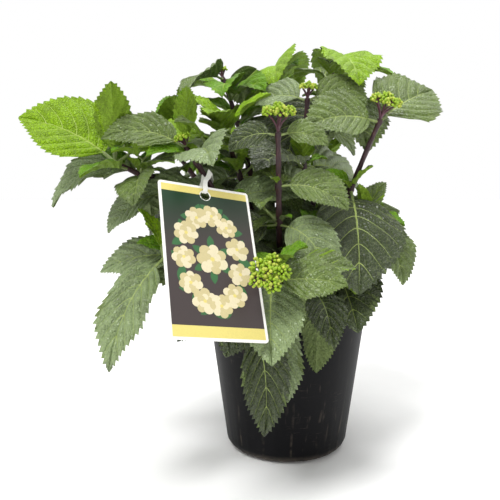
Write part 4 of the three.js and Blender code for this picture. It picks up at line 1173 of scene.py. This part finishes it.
class SHRUB_OT_pot(bpy.types.Operator):
    """Make the black nursery pot"""

    bl_idname = "shrub.pot"
    bl_label = "Pot"

    def execute(self, context):
        size = context.scene.shrub_pot
        profile = self.profile(size)
        start_shape()
        bpy.ops.mesh.primitive_circle_add(vertices=168, radius=profile[0][0], fill_type="NGON")
        bpy.ops.object.mode_set(mode="EDIT")
        bpy.ops.mesh.select_all(action="SELECT")
        raise_rings(profile)
        bpy.ops.mesh.select_all(action="SELECT")
        bpy.ops.mesh.remove_doubles(threshold=0.00002)
        bpy.ops.mesh.normals_make_consistent(inside=False)
        piece = end_shape("nursery_pot")
        self.raise_ribs(piece, size)
        piece.data.materials.append(self.plastic(size))
        keep(piece, ["pot"])
        return {"FINISHED"}

    def profile(self, size):
        """The pot's outline, from its underside up the wall, over the lip and down the inside."""
        lip_foot = size.height - LIP
        profile = arc(size.foot, ROUND_FOOT, ROUND_FOOT, -90, 0, 9)
        foot_radius, foot_top = profile[-1]
        out, up = size.body - foot_radius, lip_foot - foot_top
        profile += [(foot_radius + out * share, foot_top + up * share) for share in WALL_SHARES]
        profile += [(size.rim - inset, lip_foot + rise) for inset, rise in LIP_STEPS]
        profile += [(size.rim - inset, size.height - drop) for inset, drop in LIP_GROOVE]
        profile += arc(size.rim - LIP_EDGE, size.height - LIP_EDGE, LIP_EDGE, 0, 90, 4)
        profile += arc(size.rim - LIP_BREADTH, size.height - LIP_EDGE, LIP_EDGE, 90, 180, 4)
        profile += [(size.body - size.wall, lip_foot - size.wall)]
        profile += arc(size.foot, ROUND_FOOT, ROUND_FOOT - size.wall, 0, -90, 6)
        return profile

    def raise_ribs(self, piece, size):
        """Shallow upright ribs in the wall, which fade out about two thirds of the way up."""
        for vertex in piece.data.vertices:
            x, y, z = vertex.co
            radius = math.hypot(x, y)
            wave = math.cos(math.atan2(y, x) * size.ribs) ** RIB["sharpness"]
            reach = OUTSIDE["high"] if z > OUTSIDE["above"] else OUTSIDE["low"]
            if radius > size.foot + reach and RIB["bottom"] < z < RIB["top"]:
                fade = min(1, z / RIB["full"]) * max(0, 1 - z / RIB["top"])
                vertex.co *= 1 + RIB["height"] * wave * fade / radius
                vertex.co.z = z

    def plastic(self, size):
        """Dull black plastic with fine scratches, pale runs, worn ribs and a little dust at the foot."""
        black, dust = tuple(size.plastic), tuple(size.dust)
        material, tree, shader = new_material("pot_black_plastic", 0.5, ior=1.25, specular_ior_level=0.4)
        where = on_object(tree)
        scratched = noise(tree, on_object(tree, PLASTIC["across"]), PLASTIC["scratches"], 5, 0.62)
        scratches = ramp(tree, scratched, [(0.62, 0.0), (0.74, 0.3)])
        run_down = noise(tree, on_object(tree, PLASTIC["down"]), PLASTIC["runs"], 4, 0.6)
        runs = ramp(tree, run_down, [(0.62, 0.0), (0.75, 0.34)])
        patch = ramp(tree, noise(tree, where, PLASTIC["patches"], 2), [(0.4, 0.0), (0.6, 1.0)])
        marks = combine(tree, "MULTIPLY", combine(tree, "MAXIMUM", scratches, runs), patch)
        split = add_node(tree, "ShaderNodeSeparateXYZ", {0: where})
        angle = combine(tree, "ARCTAN2", split.outputs["Y"], split.outputs["X"])
        stray = combine(tree, "MULTIPLY", noise(tree, where, PLASTIC["wander"], 1), 0.35)
        wander = combine(tree, "ADD", angle, stray)
        ridge = combine(tree, "COSINE", combine(tree, "MULTIPLY", wander, size.ribs), 0)
        low = ramp(tree, split.outputs["Z"], [(0.0, 0.5), (0.11, 0.0)])
        broken = ramp(tree, noise(tree, where, PLASTIC["broken"], 3), [(0.46, 0.0), (0.66, 1.0)])
        worn = combine(tree, "MULTIPLY", ramp(tree, ridge, [(0.94, 0.0), (0.995, 0.8)]), low)
        marks = combine(tree, "MAXIMUM", marks, combine(tree, "MULTIPLY", worn, broken))
        dusty = ramp(tree, noise(tree, where, PLASTIC["dust"], 3), [(0.36, 0.2), (0.6, 1.0)])
        foot = combine(tree, "MULTIPLY", ramp(tree, split.outputs["Z"], [(0.001, 0.75), (0.011, 0.0)]), dusty)
        marks = combine(tree, "MAXIMUM", marks, foot)
        tree.links.new(mix_colours(tree, marks, black, dust), shader.inputs["Base Color"])
        bump(tree, shader, noise(tree, where, PLASTIC["grain"], 2), PLASTIC["depth"], 0.5)
        return material


# The mix, with its lengths in metres. Its top rises to the middle in rings that shrink, and its lumps are
# about as deep as one rise
MIX_SIDES = 72
MIX_FOOT_INSET = 0.004
MIX_EDGE_DROP = 0.004
MIX_RINGS = (0.9, 0.78, 0.64, 0.5, 0.36, 0.22, 0.1)
MIX_RISE = 0.0006
CHIP_OUTLINE = ((-1, 0.35), (-0.6, 1), (0.5, 0.85), (1, 0.4))


class SHRUB_OT_mix(bpy.types.Operator):
    """Fill the pot with potting mix and lay bark chips on it"""

    bl_idname = "shrub.mix"
    bl_label = "Potting mix"

    def execute(self, context):
        size = context.scene.shrub_pot
        low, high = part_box("potting_mix")
        edge = high.x
        base = size.foot - MIX_FOOT_INSET
        start_shape()
        bpy.ops.mesh.primitive_circle_add(vertices=MIX_SIDES, radius=base, fill_type="NGON",
                                          location=(0, 0, low.z))
        bpy.ops.object.transform_apply(location=True)
        bpy.ops.object.mode_set(mode="EDIT")
        bpy.ops.mesh.select_all(action="SELECT")
        raise_rings([(base, low.z), (size.foot + 0.006, low.z + 0.004), (size.foot + 0.0125, ROUND_FOOT),
                     (edge, high.z - MIX_EDGE_DROP)])
        for share in MIX_RINGS:
            bpy.ops.mesh.extrude_region_move(TRANSFORM_OT_translate={"value": (0, 0, MIX_RISE)})
            bpy.ops.transform.resize(value=(share ** 0.3, share ** 0.3, 1), center_override=(0, 0, high.z))
        bpy.ops.mesh.select_all(action="SELECT")
        bpy.ops.mesh.normals_make_consistent(inside=False)
        piece = end_shape("potting_mix_fill", 60)
        for vertex in piece.data.vertices:
            x, y, z = vertex.co
            if z > high.z - MIX_EDGE_DROP - 0.0005:
                lumps = math.sin(x * 310 + 1) * math.sin(y * 270) + math.sin(x * 730 + y * 510)
                vertex.co.z = min(high.z, z + MIX_RISE * lumps)
        material = self.crumbs("potting_mix_brown", tuple(size.mix))
        piece.data.materials.append(material)
        keep(piece, ["potting_mix"])
        add_piece("bark_chips", [self.chip(key, edge / MM - 3, high.z / MM) for key in range(size.chips)],
                  [material], crease=20)
        return {"FINISHED"}

    def chip(self, key, reach, top):
        """One splinter of bark lying on the mix."""
        radius = reach * math.sqrt(draw(key, 60))
        angle = draw(key, 61) * FULL_TURN
        turn = draw(key, 62) * FULL_TURN
        long, wide, thick = 2.5 + 4.5 * draw(key, 63), 1.2 + 1.6 * draw(key, 64), 0.5 + 0.7 * draw(key, 65)
        along = np.array([math.cos(turn), math.sin(turn), sway(key, 66, 0.25)])
        at = np.array([math.cos(angle) * radius, math.sin(angle) * radius, top - 0.4])
        ring = ring_across(at, unit(along))
        rings = [{**ring, "at": at + unit(along) * long * share, "radius": wide * width, "flat": thick / wide}
                 for share, width in CHIP_OUTLINE]
        return loft(round_rings(rings, 6))

    def crumbs(self, name, base):
        material, tree, shader = new_material(name, 0.9)
        where = on_object(tree)
        lumps = noise(tree, where, CRUMBS["lumps"], 5, 0.7)
        colour_by(tree, shader, lumps, [(0.35, shade(base, 0.45)), (0.5, base), (0.68, shade(base, 2.6))])
        bump(tree, shader, lumps, CRUMBS["depth"])
        return material


class SHRUB_OT_canes(bpy.types.Operator):
    """Grow the canes, the stems in the leaf masses and their twigs"""

    bl_idname = "shrub.canes"
    bl_label = "Canes"

    def execute(self, context):
        look = context.scene.shrub_wood
        bark = bark_material("purple_bark", tuple(look.bark), tuple(look.bark_light))
        plants = grown()
        canes = [cane_part(plant, 0, bough_end(plant["shoot"])) for plant in plants]
        add_piece("canes", canes, [bark], [f"cane_{plant['shoot']['name']}" for plant in plants])
        stems = [cane_part(plant, bough_end(plant["shoot"]) + 0.001, 1) for plant in plants]
        add_piece("shoot_stems", stems, [bark])
        green = bark_material("green_twig", tuple(look.stalk), shade(tuple(look.stalk), 1.3))
        add_piece("twigs", [twig_part(twig) for plant in plants for twig in plant["twigs"]], [green])
        return {"FINISHED"}


class SHRUB_OT_leaves(bpy.types.Operator):
    """Grow the leaves and their stalks"""

    bl_idname = "shrub.leaves"
    bl_label = "Leaves"

    def execute(self, context):
        plants = grown()
        for piece_name, shoots in LEAF_PIECES.items():
            young_piece = piece_name == "young_leaves"
            parts = []
            for plant in plants:
                shoot = plant["shoot"]
                own = shoot["name"] in shoots
                for leaf in plant["leaves"]:
                    if (own and (young_piece or not leaf["small"])) or (young_piece and leaf["small"]):
                        parts.append(leaf_part(leaf, *leaf_finish(leaf, shoot)))
            add_piece(piece_name, parts, leaf_materials(), [f"leaves_{name}" for name in shoots], 75)
        green = tuple(context.scene.shrub_wood.stalk)
        skin = bark_material("leaf_stalk_green", green, shade(green, 1.35), 0.45)
        stalks = [stalk_part(leaf) for plant in plants for leaf in plant["leaves"]]
        add_piece("leaf_stalks", stalks, [skin])
        return {"FINISHED"}


class SHRUB_OT_buds(bpy.types.Operator):
    """Make the heads of flower buds"""

    bl_idname = "shrub.buds"
    bl_label = "Flower buds"

    def execute(self, context):
        look = context.scene.shrub_wood
        heads = [head_parts(plant, index) for index, plant in enumerate(grown())
                 if plant["shoot"].get("buds")]
        purple = tuple(look.bud_stalk)
        skin = bark_material("bud_branchlet_purple", purple, shade(purple, 1.5))
        add_piece("bud_branchlets", [part for branchlets, _ in heads for part in branchlets], [skin])
        skins = [vein_material("flower_bud_green", tuple(look.bud_green)),
                 vein_material("flower_bud_pale", tuple(look.bud_pale))]
        buds = [part for _, head_buds in heads for part in head_buds]
        add_piece("flower_buds", buds, skins, crease=60)
        return {"FINISHED"}


# The label's print in millimetres: an oval wreath of leaves and flowers, more leaves round its middle, and
# one larger flower. Each kind of ink lies a little higher than what it covers
INKS = ("yellow", "panel", "petal", "petal_light", "petal_shade", "leaf")
YELLOW, PANEL, PETAL, LIGHT_PETAL, PETAL_SHADE, PRINTED_LEAF = range(6)
OUTER_LEAVES = {"count": 20, "across": 33, "up": 52, "long": 17}
INNER_LEAVES = {"count": 6, "across": 14, "up": 17, "long": 15}
WREATH = {"count": 11, "across": 28, "up": 46, "radius": 13}
MIDDLE_FLOWER = {"radius": 17, "key": 12}
PETALS = ((7, 0.6, 0.33, 0), (5, 0.3, 0.26, 1))
INK = {"sunk": 0.05, "ground": 0.1, "leaf": 0.16, "flower": 0.18, "next_flower": 0.03, "petal": 0.002}
HOLE_MARGIN = 0.4

# The heights in metres between which the panel fades to its top's colour
PANEL_FADE = (0.275, 0.318)


def on_oval(oval, step):
    """A place on an oval about the card's middle, and its angle."""
    angle = step / oval["count"] * FULL_TURN
    return (math.cos(angle) * oval["across"], math.sin(angle) * oval["up"]), angle


class SHRUB_OT_label(bpy.types.Operator):
    """Dress the label and its strap, and lay the print on the card"""

    bl_idname = "shrub.label"
    bl_label = "Label"

    def execute(self, context):
        look = context.scene.shrub_label
        self.dress("label_card", self.paper("label_white_card", tuple(look.card), 0.32))
        self.dress("label_strap", self.paper("label_strap_white", tuple(look.card), 0.4))
        inks = [self.paper(f"label_{name}_ink", tuple(getattr(look, name)), 0.3) for name in INKS]
        x, y = CARD["width"] / 2 - look.border / MM, CARD["height"] / 2 - look.border / MM
        band = look.band / MM - y
        hole = CARD["height"] / 2 - CARD["hole_down"]
        over = [(-x, hole), *self.half_hole(hole, 180, 0), (x, hole), (x, y), (-x, y)]
        under = [(-x, band), (x, band), (x, hole), *self.half_hole(hole, 0, -180), (-x, hole)]
        foot = [(-x, -y), (x, -y), (x, band), (-x, band)]
        grounds = ((over, YELLOW), (under, PANEL), (foot, YELLOW))
        prints = [self.plate(outline, INK["ground"], ink) for outline, ink in grounds]
        for i in range(OUTER_LEAVES["count"]):
            centre, angle = on_oval(OUTER_LEAVES, i)
            prints.append(self.leaf(centre, angle + (0.9 if i % 2 else -0.6), OUTER_LEAVES["long"]))
        for i in range(INNER_LEAVES["count"]):
            prints.append(self.leaf(*on_oval(INNER_LEAVES, i + 0.5), INNER_LEAVES["long"]))
        for i in range(WREATH["count"]):
            centre, _ = on_oval(WREATH, i + 0.5)
            prints += self.flower(centre, WREATH["radius"] + sway(i, 70, 1), i)
        prints += self.flower((0, 0), MIDDLE_FLOWER["radius"], MIDDLE_FLOWER["key"])
        self.fade(inks[PANEL], tuple(look.panel_top))
        add_piece("label_print", prints, inks, crease=20)
        return {"FINISHED"}

    def dress(self, node, material):
        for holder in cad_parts[node].material_slots:
            holder.material = material

    def paper(self, name, base, roughness):
        material, tree, shader = new_material(name, roughness)
        fleck = noise(tree, on_object(tree), PAPER["fleck"], 3)
        colour_by(tree, shader, fleck, [(0.3, shade(base, 0.93)), (0.7, shade(base, 1.03))])
        bump(tree, shader, noise(tree, on_object(tree), PAPER["waves"], 2), PAPER["depth"], 0.3)
        return material

    def fade(self, material, top):
        """Let an ink fade to another colour between the panel's two heights."""
        tree = material.node_tree
        colour_in = tree.nodes["Principled BSDF"].inputs["Base Color"]
        below = colour_in.links[0].from_socket
        height = add_node(tree, "ShaderNodeSeparateXYZ", {0: on_object(tree)}).outputs["Z"]
        start, end = PANEL_FADE
        faded = add_node(tree, "ShaderNodeMapRange", {0: height}, From_Min=start, From_Max=end).outputs[0]
        share = ramp(tree, faded, [(0.0, 0.0), (1.0, 1.0)])
        tree.links.new(mix_colours(tree, share, below, top), colour_in)

    def half_hole(self, hole_y, first, last):
        """Points round half of the card's hole, between two angles."""
        radius = CARD["hole"] + HOLE_MARGIN
        angles = [(first + (last - first) * i / 9) * DEGREE for i in range(10)]
        return [(math.cos(a) * radius, hole_y + math.sin(a) * radius) for a in angles]

    def plate(self, outline, height, ink):
        """A thin plate of ink on the card's face."""
        base, top = CARD["thick"] / 2 - INK["sunk"], CARD["thick"] / 2 + height
        points = np.array([on_card(x, y, z) for z in (base, top) for x, y in outline])
        count = len(outline)
        faces = [list(range(count, 2 * count)), list(range(count))[::-1]]
        faces += [[i, (i + 1) % count, (i + 1) % count + count, i + count] for i in range(count)]
        return points, faces, [ink] * len(faces)

    def leaf(self, centre, angle, long):
        """A printed leaf about its centre."""
        shares = [i / 6 for i in range(7)]
        side = [(long * (share - 0.5), long * 0.24 * math.sin(share * math.pi) ** 0.8) for share in shares]
        outline = [*[(x, -y) for x, y in side], *side[::-1][1:-1]]
        turn = Matrix.Rotation(angle, 2)
        outline = [tuple(turn @ Vector(point) + Vector(centre)) for point in outline]
        return self.plate(outline, INK["leaf"], PRINTED_LEAF)

    def flower(self, centre, radius, key):
        """A double flower: a shaded disc, outer and inner petals and an eye, each plate over the last."""
        height = INK["flower"] + key * INK["next_flower"]
        plates = [self.disc(centre, radius * 0.72, height, PETAL_SHADE)]
        for count, reach, size, first in PETALS:
            for i in range(count):
                angle = (i / count + draw(key, 71 + first)) * FULL_TURN
                turned = (math.cos(angle), math.sin(angle))
                spot = [middle + way * radius * reach for middle, way in zip(centre, turned)]
                height += INK["petal"]
                ink = LIGHT_PETAL if (i + first) % 2 else PETAL
                plates.append(self.disc(spot, radius * size * (1 + sway(key, 73 + i, 0.12)), height, ink))
        return [*plates, self.disc(centre, radius * 0.13, height + INK["petal"], YELLOW)]

    def disc(self, centre, radius, height, ink):
        turns = [step / 12 * FULL_TURN for step in range(12)]
        outline = [(centre[0] + math.cos(a) * radius, centre[1] + math.sin(a) * radius) for a in turns]
        return self.plate(outline, height, ink)


# The stage in metres and degrees, with the camera's sensor in millimetres. Both lamps are turned to a place
# in the middle of the plant
FLOOR_SIZE = 16
LAMP_AIM = (0, 0, 0.3)
SUN = {"place": (-0.5, -0.75, 1.6), "angle": 20}
TOP_LIGHT = {"place": (0.3, 0.35, 1.7), "size": 0.9}
CAMERA_PLACE = (-0.046, -0.8008, 0.3372)
SENSOR_WIDTH = 36


class SHRUB_OT_stage(bpy.types.Operator):
    """Set the pale floor, the soft light and the camera"""

    bl_idname = "shrub.stage"
    bl_label = "Stage"

    def execute(self, context):
        look = context.scene.shrub_stage
        start_shape()
        bpy.ops.mesh.primitive_plane_add(size=FLOOR_SIZE)
        bpy.ops.object.mode_set(mode="EDIT")
        bpy.ops.mesh.select_all(action="SELECT")
        bpy.ops.mesh.subdivide(number_cuts=3)
        floor = end_shape("pale_floor")
        floor.data.materials.append(self.ground("pale_floor", tuple(look.floor)))
        self.sky(context.scene, look)
        self.lamp("sun_light", "SUN", SUN["place"], look.sun).angle = SUN["angle"] * DEGREE
        self.lamp("top_light", "AREA", TOP_LIGHT["place"], look.top).size = TOP_LIGHT["size"]
        camera = bpy.data.cameras.new("camera")
        camera.lens = look.lens
        camera.sensor_width = SENSOR_WIDTH
        holder = bpy.data.objects.new("camera", camera)
        holder.location = CAMERA_PLACE
        holder.rotation_euler = ((90 - look.tilt) * DEGREE, 0, 0)
        context.scene.collection.objects.link(holder)
        context.scene.camera = holder
        context.scene.view_settings.view_transform = "Standard"
        return {"FINISHED"}

    def ground(self, name, base):
        material, tree, shader = new_material(name, 0.85)
        fleck = noise(tree, on_object(tree), FLOOR_FLECK, 2)
        colour_by(tree, shader, fleck, [(0.3, shade(base, 0.985)), (0.7, base)])
        return material

    def sky(self, scene, look):
        """Light from all sides, weaker from straight above than from the horizon."""
        world = bpy.data.worlds.new("soft_sky")
        scene.world = world
        world.use_nodes = True
        tree = world.node_tree
        background = tree.nodes["Background"]
        background.inputs["Strength"].default_value = look.sky
        direction = add_node(tree, "ShaderNodeTexCoord").outputs["Generated"]
        height = add_node(tree, "ShaderNodeSeparateXYZ", {0: direction}).outputs["Z"]
        tree.links.new(ramp(tree, height, [(0.3, 1.0), (0.65, look.zenith)]), background.inputs["Color"])

    def lamp(self, name, kind, spot, power):
        """A lamp of a kind, turned to the middle of the plant."""
        light = bpy.data.lights.new(name, kind)
        light.energy = power
        holder = bpy.data.objects.new(name, light)
        holder.location = spot
        holder.rotation_euler = (Vector(LAMP_AIM) - Vector(spot)).to_track_quat("-Z", "Y").to_euler()
        bpy.context.scene.collection.objects.link(holder)
        return light


class SHRUB_PT_panel(bpy.types.Panel):
    """The shrub's settings and steps."""

    bl_label = "Potted shrub"
    bl_idname = "SHRUB_PT_panel"
    bl_space_type = "VIEW_3D"
    bl_region_type = "UI"
    bl_category = "Shrub"

    def draw(self, context):
        for holder, group in SETTINGS.items():
            box = self.layout.box()
            box.label(text=group.__doc__)
            for name in group.__annotations__:
                box.prop(getattr(context.scene, holder), name)
        for operator in OPERATORS:
            self.layout.operator(operator.bl_idname)


OPERATORS = (SHRUB_OT_stage, SHRUB_OT_pot, SHRUB_OT_mix, SHRUB_OT_canes, SHRUB_OT_leaves, SHRUB_OT_buds,
             SHRUB_OT_label)


def register():
    for group in (*SETTINGS.values(), *OPERATORS, SHRUB_PT_panel):
        bpy.utils.register_class(group)
    for holder, group in SETTINGS.items():
        setattr(bpy.types.Scene, holder, PointerProperty(type=group))


def unregister():
    for holder in SETTINGS:
        delattr(bpy.types.Scene, holder)
    for group in (SHRUB_PT_panel, *OPERATORS[::-1], *SETTINGS.values()):
        bpy.utils.unregister_class(group)


def main():
    register()
    bpy.ops.shrub.stage()
    bpy.ops.shrub.pot()
    bpy.ops.shrub.mix()
    bpy.ops.shrub.canes()
    bpy.ops.shrub.leaves()
    bpy.ops.shrub.buds()
    bpy.ops.shrub.label()


if __name__ == "__main__":
    main()
